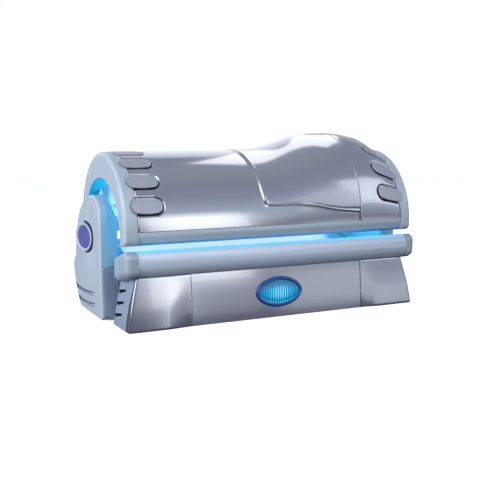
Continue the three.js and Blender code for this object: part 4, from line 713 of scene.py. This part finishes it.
def cornerFront(k, z):  # leans back above a soft knee, draws in towards the seam and bows a little along X
    height = skirt["high"] - skirt["low"]
    s = (z - skirt["low"]) / height
    lean = swell["soft"] * np.log1p(np.exp((s - swell["knee"]) / swell["soft"]))
    most = swell["soft"] * np.log1p(np.exp((1 - swell["knee"]) / swell["soft"]))
    seam = swell["seam"] * (1 - ease(0, swell["seamTo"], k)) * (1 - swell["seamFall"] * s)
    return swell["top"] - swell["slope"] * height * (most - lean) + seam - swell["bow"] * (k - swell["bowAt"]) ** 2


def cornerPanelPart():  # a plan at each height: along the front, round the corner, onto the end, back inside
    low, high, radius = skirt["low"], skirt["high"], skirt["cornerRadius"]
    levels = spaced((low, low + 0.004, 0.002), (low + 0.004, high - 0.004, 0.012), (high - 0.004, high, 0.002))
    z = levels[:, None]
    k = np.linspace(0, 1, 56)
    a = np.linspace(1.5 * np.pi, np.pi, 20)[1:]
    run = endAt(z) - radius
    start = skirt["seam"] + 0.0004

    def plan(inset):  # the outer plan, or the same moved in by the wall
        front = placed(-(start + k * (run - start)), cornerFront(k, z) + inset, z)
        turn = placed(-run + (radius - inset) * np.cos(a), cornerFront(1, z) + radius + (radius - inset) * np.sin(a), z)
        end = placed(inset - endAt(z), skirt["cornerEnd"], z)
        return np.concatenate([front, turn, end], 1)

    outer = plan(0)
    inner = plan(skirt["wall"])
    edge = np.minimum(levels - levels[0], levels[-1] - levels)
    share = (0.45 * (1 - ease(0, 0.004, edge)))[:, None, None]
    return skin(np.concatenate([outer + (inner - outer) * share, (inner + (outer - inner) * share * 0.2)[:, ::-1]], 1))


groove = dict(low=0.014, high=0.332, front=-0.430, rear=-0.418, near=0.008, far=0.012)


def stripPart():  # painted shade: a black strip behind the gap between corner and end panel, standing for the gap's shadow: four corners carried up the end
    z = np.linspace(groove["low"], groove["high"], 40)[:, None]
    y = np.array([groove[key] for key in ("front", "rear", "rear", "front")])
    return skin(placed(-endAt(z) + [groove[key] for key in ("near", "near", "far", "far")], y, z))


vents = dict(count=3, first=0.080, pitch=0.075, front=-0.325, rear=-0.194, slope=0.17, slot=0.0060,
             ramp=0.024, depth=0.016)
endPanel = dict(front=-0.422, rear=-0.187, edge=0.003, inside=0.022)


def ventSink(y, z):  # depth of the vents: a sloping slot each, with a ramp below that widens to the rear
    front, rear = vents["front"], vents["rear"]
    share = np.clip((y - front) / (rear - front), 0, 1)
    inside = ease(front - 0.001, front + 0.003, y) * (1 - ease(rear - 0.003, rear + 0.001, y))
    total = 0
    for i in range(vents["count"]):
        above = z - (vents["first"] + i * vents["pitch"] - vents["slope"] * (y - (front + rear) / 2))
        slot = 1 - ease(vents["slot"] - 0.002, vents["slot"] + 0.001, np.abs(above))
        ramp = np.clip(1 + (above + vents["slot"]) / (vents["ramp"] * (0.1 + 0.9 * share ** 1.5)), 0, 1) * (above < 0)
        total = total + inside * np.maximum(slot, 0.75 * ramp)
    return total


def endPanelPart():  # a flat sloping panel pressed in at its vents; rings run outside then back inside
    front, rear, edge = endPanel["front"], endPanel["rear"], endPanel["edge"]
    y = spaced((front, front + edge, 0.0015), (front + edge, rear - edge, 0.0024), (rear - edge, rear, 0.0015))
    z = spaced((skirt["low"], skirt["high"], 0.0026))[:, None]
    sink = vents["depth"] * ventSink(y, z) + edge * (1 - ease(0, edge, np.minimum(y - y[0], y[-1] - y)))
    outer = placed(-endAt(z) + sink, y, z)
    inner = placed(-endAt(z) + endPanel["inside"], np.linspace(y[-1], y[0], 20), z)
    return skin(np.concatenate([outer, inner], 1))


def ventShadeMark(x, y, z):  # painted shade: 1 deep in a vent, 0 on the face
    return ease(0.003, 0.007, endAt(z) - np.abs(x)) * ease(0.15, 0.4, ventSink(y, z))


backPanel = dict(front=0.319, back=0.325, low=0.003, high=0.3355, edge=0.003, fold=0.002, louvres=7, pitch=0.020,
                 lowest=0.105, slot=0.011, press=0.005, banks=(-0.36, 0.36), bankHalf=0.17,
                 screws=(-0.94, -0.56, 0.0, 0.56, 0.94), screwHeights=(0.034, 0.312),
                 columns=[-1.0025, -0.54, -0.525, -0.195, -0.18, 0.18, 0.195, 0.525, 0.54, 1.0025])


def louvrePress(x, z):  # each louvre stands out as a half wave that falls off at its ends
    step = (z - backPanel["lowest"]) / backPanel["pitch"]
    inside = ease(-0.02, 0.0, step) * (1 - ease(backPanel["louvres"], backPanel["louvres"] + 0.02, step))
    wave = inside * np.clip(1 - np.mod(step, 1) / (backPanel["slot"] / backPanel["pitch"] + 0.35), 0, 1) ** 0.8
    half = backPanel["bankHalf"]
    ends = sum(1 - ease(half - 0.012, half, np.abs(x - bank)) for bank in backPanel["banks"])
    return backPanel["press"] * ends * wave


def rearPanelPart():  # a flat sheet with two banks of pressed louvres; outside, then back inside
    low, high, edge = backPanel["low"], backPanel["high"], backPanel["edge"]
    pairs = zip(backPanel["columns"], backPanel["columns"][1:])
    x = spaced(*[(a, b, 0.003 if b - a < 0.02 else 0.03) for a, b in pairs])  # close columns at the louvres' ends
    z = spaced((low, low + edge, 0.0015), (low + edge, high - edge, 0.0016), (high - edge, high, 0.0015))[:, None]
    away = np.minimum(np.minimum(x - x[0], x[-1] - x), np.minimum(z - z[0], z[-1] - z))
    outer = placed(x, backPanel["back"] + louvrePress(x, z) - backPanel["fold"] * (1 - ease(0, edge, away)), z)
    return skin(np.concatenate([outer, placed(x[::-1], backPanel["front"], z)], 1))


screw = dict(radius=0.0065, tall=0.0025, seat=0.0005, slotReach=0.0045, slotDepth=0.0012, slotEdge=(0.0006, 0.0012))


def screwPart(x, z):  # a low dome with a cross slot pressed in, turned about Y
    r = np.linspace(0, screw["radius"], 8)[:, None]
    a = np.linspace(0, 2 * np.pi, 24, endpoint=False)
    across, up = r * np.cos(a), r * np.sin(a)
    slot = 1 - ease(*screw["slotEdge"], np.minimum(np.abs(across), np.abs(up)))
    dome = screw["tall"] * np.sqrt(np.clip(1 - (r / (screw["radius"] + 0.0001)) ** 2, 0, 1))
    y = backPanel["back"] - screw["seat"] + dome - screw["slotDepth"] * slot * (r < screw["slotReach"])
    return skin(placed(x + across, y, z + up))


makePiece("centrePanel", [centrePanelPart()], "silverPaint", "bed_base", ["front_panel_centre"], sharp=50)
makePair("cornerPanel", cornerPanelPart(), "silverPaint", "front_panel", sharp=50)
# painted shade: black strips in the gaps at the skirt's corners
makePair("cornerGapShadeStrip", stripPart(), "blackPlastic")
makePair("endPanel", endPanelPart(), "satinVented", "end_panel", sharp=50, marks={"ventPaintedShade": ventShadeMark})
makePiece("rearPanel", [rearPanelPart()], "satinPlastic", "bed_base", ["rear_panel"], sharp=50)
screws = [screwPart(x, z) for x in backPanel["screws"] for z in backPanel["screwHeights"]]
makePiece("rearScrews", screws, "frameSteel", "bed_base", sharp=50)
print("skirt")

# accent lens and its bezel, on the leaning centre panel
leanTurn = np.arctan2(skirt["lean"], skirt["height"])
bezel = dict(corners=[(0, -0.003), (0, 0.007), (0.005, 0.0135), (0.013, 0.0120), (lens["bezel"], 0.0015),
                      (lens["bezel"], -0.0003), (0.004, -0.003)],
             radii=[0.001, 0.003, 0.005, 0.008, 0.002, 0.0005, 0.001])


def onSkirt(x, up, out):  # a point given along the leaning panel and out from it
    y = frontAt(lens["height"]) - skirt["bulge"] + up * np.sin(leanTurn) - out * np.cos(leanTurn)
    return placed(x, y, lens["height"] + up * np.cos(leanTurn) + out * np.sin(leanTurn))


def bezelPart():  # a rolled rim section carried round the oval
    inner = along(ovalEdge(np.linspace(0, 2 * np.pi, 120, endpoint=False), 0), 160, True)
    section = rounded(bezel["corners"], bezel["radii"], 5)
    rows = np.stack([drawnIn(inner, -n) for n in section[:, 0]], 1)
    return skin(onSkirt(lens["middle"] + rows[..., 0], rows[..., 1], section[:, 1]), True)


def ovalTall(u):  # half height of the oval at a share of its half width
    return (1 - np.minimum(np.abs(u), 1) ** lens["point"]) ** (1 / lens["point"])


def lensPart():  # columns across the oval, each arched out, with rounded flutes that run out at the rim
    u = np.sin(np.linspace(-np.pi / 2, np.pi / 2, 240))[:, None]
    v = np.sin(np.linspace(-np.pi / 2, np.pi / 2, 44))
    x = lens["middle"] + (lens["halfWidth"] - lens["clear"]) * u
    up = (lens["halfHeight"] - lens["clear"]) * ovalTall(u) * v
    rim = np.clip((1 - u ** 2) * (1 - v ** 2), 0, 1)
    wave = np.sqrt(np.abs(np.cos(np.pi * lens["flutes"] * (u + 1) / 2)))
    out = 0.001 + lens["dome"] * rim ** 0.6 * 0.75 + lens["fluteDepth"] * wave * ease(0, 0.12, rim)
    return skin(np.concatenate([onSkirt(x, up, out), onSkirt(x, up[:, ::-1], -0.002)], 1))


def lensLight(x, y, z):  # brightest in the middle, darker between flutes and at the top, lit flute ends below
    u = (x - lens["middle"]) / lens["halfWidth"]
    v = np.clip((z - lens["height"]) / (lens["halfHeight"] * np.maximum(ovalTall(u), 0.02)), -1, 1)
    wave = np.cos(np.pi * lens["flutes"] * (u + 1) / 2) ** 2
    core = np.exp(-(u / 0.85) ** 2 - ((v + 0.08) / 0.66) ** 4)
    ends = np.exp(-((v + 0.90) / 0.10) ** 2) * ease(0.45, 0.85, wave)
    return np.clip(0.10 + core * (0.36 + 0.36 * wave) + 0.12 * wave + 0.75 * ends, 0, 1)


makePiece("lensBezel", [bezelPart()], "bezelGloss", "bed_base", ["lens_bezel"], sharp=70)
makePiece("accentLens", [lensPart()], "lensGlow", "bed_base", ["accent_lens"], sharp=80, marks={"lensLight": lensLight})
print("lens")

# towers
hinge = np.array([0.169, 0.529])
holeCentre = hinge - [0.001, 0]
tower = dict(outer=1.140, split=1.0853, hoodOuter=1.0847, inner=1.007, wall=0.004, bottom=0.028, ledge=0.366, top=0.817,
             front=-0.165, spread=0.019, heel=0.170, shoulder=(0.267, 0.013), edge=0.013, hoodEdge=0.012, hole=0.1065,
             mouth=0.1155, dish=0.021, dishReach=0.30, tuck=0.013, tuckRise=(0.37, 0.45), lean=0.034, leanFrom=0.64,
             swing=0.234, pinHole=0.018, seamDepth=0.0030, seamWidth=0.0026, lineDepth=0.0035, lineWidth=0.0055,
             smileDepth=0.017, smileLine=0.003, frontShade=0.42,
             lower=[(0.231, 0.213), (0.295, 0.479), (0.325, 0.775), (0.321, 0.923)],
             upper=[(0.251, 0.253), (0.216, 0.486), (0.151, 0.696), (0.062, 0.856), (-0.029, 0.956)],
             crown=[(-0.144, 1), (-0.254, 0.958), (-0.317, 0.818), (-0.334, 0.608)])
smiles = [dict(y=[-0.020, 0.110, 0.214, 0.349, 0.450], z=[0.185, 0.171, 0.165, 0.163, 0.174], tall=0.036),
          dict(y=[-0.040, 0.070, 0.168, 0.301, 0.400], z=[0.115, 0.100, 0.093, 0.090, 0.100], tall=0.034)]
bandLine = along(np.array([(-0.165, 0.366), (-0.10, 0.3655), (-0.055, 0.367), (-0.030, 0.378), (-0.021, 0.41),
                           (-0.024, 0.48), (-0.040, 0.56), (-0.066, 0.64), (-0.078, 0.70), (-0.060, 0.752),
                           (-0.01, 0.778), (0.07, 0.783), (0.15, 0.762), (0.22, 0.715)]), 160)


def towerOutline():  # straight front and floor, splines up the rear and over the crown
    def at(points, low, high):  # points behind the hinge, at shares of a height
        return [(hinge[0] + back, low + share * (high - low)) for back, share in points]
    lower = at([(tower["heel"], 0)] + tower["lower"], tower["bottom"], tower["ledge"])
    upper = at(tower["upper"] + tower["crown"], tower["ledge"], tower["top"])
    shoulder = (hinge[0] + tower["shoulder"][0], tower["ledge"] + tower["shoulder"][1])
    return np.vstack([[(tower["front"] - tower["spread"], tower["bottom"])], splineThrough(lower, 12),
                      splineThrough([shoulder] + upper, 12), [(tower["front"], tower["ledge"])]])


def softened(outline, passes):  # each point moved to the mean of itself and its neighbours, a few times
    for _ in range(passes):
        outline = (outline * 2 + np.roll(outline, 1, 0) + np.roll(outline, -1, 0)) / 4
    return outline


def faceRow(edge, centre, radius):  # points of a circle on the rays to an outline's points
    return centre + unit(edge - centre) * radius


def fromHinge(y, z):  # distance from the hinge's axis
    return np.hypot(y - hinge[0], z - hinge[1])


def coverDish(y, z):  # the face falls away in front of the hinge, so that the leaning cap stays in sight
    ahead = np.clip((hinge[0] - y) / fromHinge(y, z), 0, 1)
    return tower["dish"] * ease(0, 1, ahead) * (1 - ease(tower["hole"], tower["dishReach"], fromHinge(y, z)))


def smileShape(y, z):  # both grooves' depth, 0 to 1, greatest under the upper edge, and the thin line below it
    deep, line = 0, 0
    for smile in smiles:
        top = np.interp(y, smile["y"], smile["z"])
        share = np.clip((y - smile["y"][0]) / (smile["y"][-1] - smile["y"][0]), 0, 1)
        below = (top - z) / (smile["tall"] * (0.32 + 0.68 * share))
        fade = ease(0, 0.10, share)
        deep = deep + fade * ease(-0.12, 0.10, below) * (1 - ease(0.35, 1.0, below)) * (0.45 + 0.55 * share)
        line = line + fade * np.exp(-((top - z - 0.023) / 0.0034) ** 2) * (1 - ease(0.35, 0.75, share))
    return deep, line


def coverPaintedShade(x, y, z):  # painted shade: 1 in a groove of the outer face, less on the shaded lower front, 0 elsewhere
    deep, line = smileShape(y, z)
    front = tower["frontShade"] * (1 - ease(1.106, 1.136, np.abs(x))) * (y < -0.10) * (z < tower["ledge"])
    return np.clip(ease(0.05, 0.40, deep) * 0.85 + 0.80 * line, 0, 1) * (np.abs(x) > 1.105) + front


def paintedLampLight(x, y, z):  # painted lamp light: 1 on the cover's upper front wall, where the lamps shine on it, 0 elsewhere
    return (1 - ease(1.095, 1.130, np.abs(x))) * (1 - ease(-0.05, 0.12, y)) * (z > tower["ledge"])


def coverFace(y, z):  # how far the outer face sinks: a fine seam line, and smile grooves deeper at their upper side
    away = np.linalg.norm(np.stack([y, z], -1)[..., None, :] - bandLine, axis=-1).min(-1)
    deep, line = smileShape(y, z)
    fine = tower["lineDepth"] * np.exp(-(away / tower["lineWidth"]) ** 2)
    return coverDish(y, z) + fine + tower["smileDepth"] * deep + tower["smileLine"] * line


def wrapped(rows):  # rows of (Y-Z outline, depth) as one closed skin of the left tower
    return skin(np.stack([placed(-depth, p[:, 0], p[:, 1]) for p, depth in rows], 1), True)


def sideCoverPart():  # rows from the hinge hole out over the face, round the edge, along the side and back inside
    face, wall, edge, front, step = (tower[key] for key in ("outer", "wall", "edge", "front", "ledge"))
    outline = softened(along(towerOutline(), 400, True), 22)
    outline = outline[(np.abs(outline[:, 1] - step) > 0.014) | (outline[:, 0] > 0)]
    close = np.stack([np.full(17, front), step + np.linspace(0.012, -0.012, 17)], -1)  # close points at the front seam
    close[:, 0] -= tower["spread"] * np.clip((step - close[:, 1]) / (step - tower["bottom"]), 0, 1)
    gap = np.argmin(np.hypot(outline[:, 0] - front, outline[:, 1] - step - 0.016)) + 1
    outline = np.insert(outline, gap, close, 0)
    seam = tower["seamDepth"] * np.exp(-((outline[:, 1] - step) / tower["seamWidth"]) ** 2) * (outline[:, 0] < -0.1)
    side = drawnIn(outline, seam)

    def ringAt(radius):  # a circle about the hole, on the rays to the outline
        return faceRow(outline, holeCentre, radius)

    hole = ringAt(tower["hole"])
    low = face - coverDish(hole[:, 0], hole[:, 1])
    rows = [(hole, low - 0.010), (hole, low - 0.005)]
    rows += [(ringAt(tower["hole"] + 0.009 * np.sin(k)), low - 0.005 * (1 - np.sin(k))) for k in (0.5, 1.0, 1.571)]
    near, far = ringAt(tower["mouth"]), drawnIn(outline, edge)
    flat = [near + (far - near) * k for k in np.linspace(0.01, 1, 110)]
    rows += [(p, face - coverFace(p[:, 0], p[:, 1])) for p in flat]
    rows += [(drawnIn(outline, edge * (1 - np.sin(k)) + seam * np.sin(k)), face - edge * (1 - np.cos(k)))
             for k in np.linspace(0.2, np.pi / 2, 7)]
    within = drawnIn(outline, wall)
    rows += [(side, face - 0.03), (side, tower["split"]), (within, tower["split"]), (within, face - 0.022)]
    rows += [(ringAt(tower["hole"] + wall), low - 0.015), (hole, low - 0.015)]
    return wrapped(rows)


def hoodOutline():  # the upper front of the tower, with its rear cut round the hinge to let the canopy swing
    front = np.array([tower["front"], tower["ledge"]])
    base = tower["ledge"] + 0.0004
    whole = along(towerOutline(), 700, True)[::-1]
    keep = whole[(whole[:, 1] > base) & ((fromHinge(*whole.T) < tower["swing"]) | (whole[:, 1] > 0.561))]
    keep = np.roll(keep, -np.argmin(np.linalg.norm(keep - front, axis=1)), 0)
    turn = np.linspace(0.06, np.arcsin((base - hinge[1]) / tower["swing"]), 40)
    return np.vstack([[(tower["front"], base)], keep, onCircle(hinge, tower["swing"], turn)])


def hoodTuck(z):  # how far the inner face stands back: a little over the foot cover, more towards the crown
    return tower["tuck"] * ease(*tower["tuckRise"], z) + tower["lean"] * ease(tower["leanFrom"], tower["top"], z)


def hoodPart():  # rows from the pin hole over the inner face, round its edge, along the front and back inside
    outline = softened(along(hoodOutline(), 360, True), 2)
    edge, wall, face, outer = (tower[key] for key in ("hoodEdge", "wall", "inner", "hoodOuter"))
    rim = face + hoodTuck(outline[:, 1])
    near, far = faceRow(outline, hinge, tower["pinHole"]), drawnIn(outline, edge)
    flat = [near + (far - near) * k for k in np.linspace(0, 1, 24)]
    rows = [(near, face + 0.004 + hoodTuck(near[:, 1]))] + [(p, face + hoodTuck(p[:, 1])) for p in flat]
    rows += [(drawnIn(outline, edge * (1 - np.sin(k))), rim + edge * (1 - np.cos(k)))
             for k in np.linspace(0.2, np.pi / 2, 7)]
    rows += [(outline, rim + edge + (outer - rim - edge) * k) for k in (0.3, 0.65, 1.0)]
    within = drawnIn(outline, wall)
    return wrapped(rows + [(within, outer), (within, rim + wall + 0.004)])


hingeCap = dict(lean=15, foot=-1.122, face=-1.146, sides=96,
                ring=[(-1.1500, 0.0985), (-1.1535, 0.0965), (-1.1550, 0.0925), (-1.1545, 0.0845), (-1.1515, 0.0790),
                      (-1.1470, 0.0772), (-1.110, 0.0772), (-1.109, 0.0990)],
                disc=[(-1.1500, 0.0), (-1.1508, 0.028), (-1.1520, 0.0535), (-1.1523, 0.0572), (-1.1511, 0.0590),
                      (-1.1511, 0.0612), (-1.1524, 0.0632), (-1.1518, 0.0695), (-1.1500, 0.0740), (-1.1465, 0.0764),
                      (-1.112, 0.0768), (-1.112, 0.0)],
                well=[(-1.109, 0.0), (-1.109, 0.060), (-1.109, 0.1057), (-1.105, 0.1057), (-1.105, 0.0)])


def capBoss(profile):  # a turned boss cut by a sloping plane: X moves with Y, less and less towards its foot
    x, y, z = np.moveaxis(lathe(profile, hinge, hingeCap["sides"]), -1, 0)
    share = 1 - ease(hingeCap["face"], hingeCap["foot"], x)
    return skin(placed(x - np.tan(np.radians(hingeCap["lean"])) * share * (y - hinge[0]), y, z), True)


footCover = dict(xs=[-1.0847, -1.080, -1.014, -1.009],
                 corners=[(-0.184, 0.028), (0.330, 0.028), (0.330, 0.366), (0.326, 0.366), (0.326, 0.032),
                          (-0.1798, 0.032), (-0.161, 0.366), (-0.165, 0.366)],
                 radii=[0.006, 0.004, 0.0012, 0.0012, 0.003, 0.003, 0.0012, 0.0012])
makePair("towerCover", sideCoverPart(), "satinPaintedLightShade", "tower_side_cover", sharp=60,
         marks={"paintedShade": coverPaintedShade, "paintedLampLight": paintedLampLight})
makePair("towerHood", hoodPart(), "satinHoodPaintedLit", "tower_hood", sharp=60)
makePair("towerFoot", skin(alongX(rounded(footCover["corners"], footCover["radii"], 4), footCover["xs"])), "satinShade",
         "tower_foot_cover")
# painted shade on the hinge ring's outer rim, where the gap round it is dark
makePair("hingeRing", capBoss(hingeCap["ring"]), "satinPaintedLightShade", "hinge_cap_ring", sharp=60,
         marks={"paintedShade": lambda x, y, z: ease(0.0955, 0.0980, fromHinge(y, z))})
# painted shade: a black cup behind the hinge ring, for the dark gap round the cap
makePair("hingeShadeWell", skin(lathe(hingeCap["well"], holeCentre, hingeCap["sides"]), True), "blackPlastic", sharp=60)
makePair("hingeDisc", capBoss(hingeCap["disc"]), "purpleCap", "hinge_cap_disc", sharp=60)
print("towers")

# CAD nodes that stay, with their finishes
stays = dict(frameSteel=["base_beam_front", "base_beam_rear", "ballast_tray",
                         *both("base_cross", "tower_post", "gas_spring_rod")],
             sheetMetal=["bench_pan", *both("hinge_bush")],
             satinPlastic=["control_pod", *both("canopy_arm")],
             blackPlastic=["mains_inlet", "fan_housing", "fan_rotor", "start_button",
                           *both("levelling_foot_front", "levelling_foot_rear", "gas_spring_cylinder")])
for finish, names in stays.items():
    for name in names:
        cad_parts[name].data.materials.clear()
        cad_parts[name].data.materials.append(finishes[finish])
print("CAD nodes kept:", sum(map(len, stays.values())))

# floor: a flat square far wider than the bed
floorSteps = np.linspace(-14, 14, 9)
floorMesh = bpy.data.meshes.new("floor")
floorMesh.from_pydata(placed(floorSteps[:, None], floorSteps, -0.0005).reshape(-1, 3), [], gridFaces(9, 9).tolist())
floor = bpy.data.objects.new("floor", floorMesh)
bpy.context.scene.collection.objects.link(floor)
floorFinish = bpy.data.materials.new("paleFloor")
floorFinish.use_nodes = True
fillInputs(floorFinish.node_tree, floorFinish.node_tree.nodes["Principled BSDF"],
           {"Base Color": (0.94, 0.94, 0.95, 1), "Roughness": 0.9, "Emission Color": (1, 1, 1, 1),
            "Emission Strength": 0.78})
floorMesh.materials.append(floorFinish)
floor.visible_glossy = False  # the paint mirrors the dark studio below, as in the picture
floor.visible_diffuse = False
floor.visible_shadow = False

# lights: place, size, turn in degrees, power, colour, and whether the paint mirrors them
warm = (1.0, 0.965, 0.89)
plain = (1.0, 1.0, 1.0)
lampBlue = (0.01, 0.62, 1.0)
softboxes = dict(top=((2.15, 2.2, 3.5), (1.50, 4.0), (0, 0, -27), 26, warm, True),
                 front=((1.18, -4.5, 1.10), (1.30, 1.68), (90, 0, 0), 12.8, warm, True),
                 frontSoft=((1.18, -4.5, 2.12), (1.30, 0.36), (90, 0, 0), 1.3, warm, True),
                 under=((1.48, -4.5, -0.15), (0.96, 0.80), (90, 0, 0), 0.82, plain, True),
                 underLeft=((0.81, -4.5, -0.15), (0.38, 0.80), (90, 0, 0), 0.95, plain, True),
                 low=((3.4, -4.5, -0.15), (2.4, 0.9), (90, 0, 0), 4.1, plain, True),
                 lowSoft=((3.4, -4.5, 0.45), (2.4, 0.3), (90, 0, 0), 0.6, plain, True),
                 left=((-4.4, -2.7, 2.9), (3.4, 4.2), (66, 0, -55), 84, plain, True),
                 side=((-4.4, 0.2, 1.15), (3.0, 3.0), (0, -90, 0), 150, plain, False),
                 fill=((-0.2, -5.1, 3.7), (3.0, 2.0), (59, 0, -2), 158, plain, False),
                 right=((4.9, -4.0, 3.3), (2.4, 2.8), (90, 0, 42), 18.6, plain, True),
                 rightSoft=((3.70, -5.07, 2.9), (0.9, 2.2), (90, 0, 42), 1.6, plain, True),
                 back=((0.0, 7.0, 5.0), (9.0, 8.0), (-90, 0, 0), 112, plain, True),
                 hoodLeft=((-0.955, -0.36, 0.62), (0.2, 0.2), (90, 0, 35), 0.48, lampBlue, False),
                 ringLeft=((-0.90, 0.03, 0.70), (0.3, 0.3), (0, 90, 0), 2.6, lampBlue, False),
                 hoodRight=((0.955, -0.36, 0.62), (0.2, 0.2), (90, 0, -35), 0.48, lampBlue, False),
                 ringRight=((0.90, 0.03, 0.70), (0.3, 0.3), (0, -90, 0), 2.6, lampBlue, False))
for name, (place, size, turn, power, colour, mirrors) in softboxes.items():
    light = bpy.data.lights.new("softbox_" + name, "AREA")
    light.shape = "RECTANGLE"
    light.size, light.size_y = size
    light.energy = power
    light.color = colour
    softbox = bpy.data.objects.new("softbox_" + name, light)
    softbox.location = place
    softbox.rotation_euler = np.radians(turn)
    softbox.visible_glossy = mirrors
    softbox.visible_camera = False
    bpy.context.scene.collection.objects.link(softbox)

# studio sky by height, tilted a little: white to the camera, and half as strong on matt surfaces as in mirrors
skyStops = [(0.0, (0.028, 0.028, 0.066, 1)), (0.44, (0.032, 0.032, 0.075, 1)), (0.5, (0.06, 0.06, 0.12, 1)),
            (0.565, (0.14, 0.14, 0.21, 1)), (0.62, (0.41, 0.43, 0.53, 1)), (0.66, (0.48, 0.51, 0.60, 1)),
            (0.74, (0.50, 0.53, 0.63, 1)), (0.80, (0.41, 0.43, 0.53, 1)), (0.86, (0.31, 0.32, 0.415, 1)),
            (0.95, (0.28, 0.285, 0.365, 1)), (1.0, (0.33, 0.34, 0.41, 1))]
world = bpy.data.worlds.new("studio")
bpy.context.scene.world = world
world.use_nodes = True
sky = world.node_tree
skyPlace = addNode(sky, "TexCoord", {})
skySeen = addNode(sky, "LightPath", {})
skyTurn = addNode(sky, "Mapping", {"Vector": skyPlace.outputs["Generated"], "Rotation": np.radians((0, -13, 0))})
skySplit = addNode(sky, "SeparateXYZ", {"Vector": skyTurn.outputs["Vector"]})
skyHeight = addNode(sky, "MapRange", {"Value": skySplit.outputs["Z"], "From Min": -1})
skyColour = addRamp(sky, skyHeight.outputs["Result"], skyStops)
skyMix = addNode(sky, "Mix", {"Factor": skySeen.outputs["Is Camera Ray"], "A": skyColour, "B": (1, 1, 1, 1)},
                 data_type="RGBA")
skyDim = addNode(sky, "Math", {0: skySeen.outputs["Is Diffuse Ray"], 1: -0.5, 2: 1.0}, operation="MULTIPLY_ADD")
fillInputs(sky, sky.nodes["Background"], {"Color": skyMix.outputs["Result"], "Strength": skyDim.outputs["Value"]})

view = dict(place=(-2.558, -5.029, 1.200), turn=(82.54, 0, -26.29), lens=60, sensor=36)
cameraData = bpy.data.cameras.new("camera")
cameraData.lens = view["lens"]
cameraData.sensor_width = view["sensor"]
camera = bpy.data.objects.new("camera", cameraData)
camera.location = view["place"]
camera.rotation_euler = np.radians(view["turn"])
bpy.context.scene.collection.objects.link(camera)
bpy.context.scene.camera = camera
bpy.context.scene.view_settings.view_transform = "Standard"
print("floor, lights and camera")
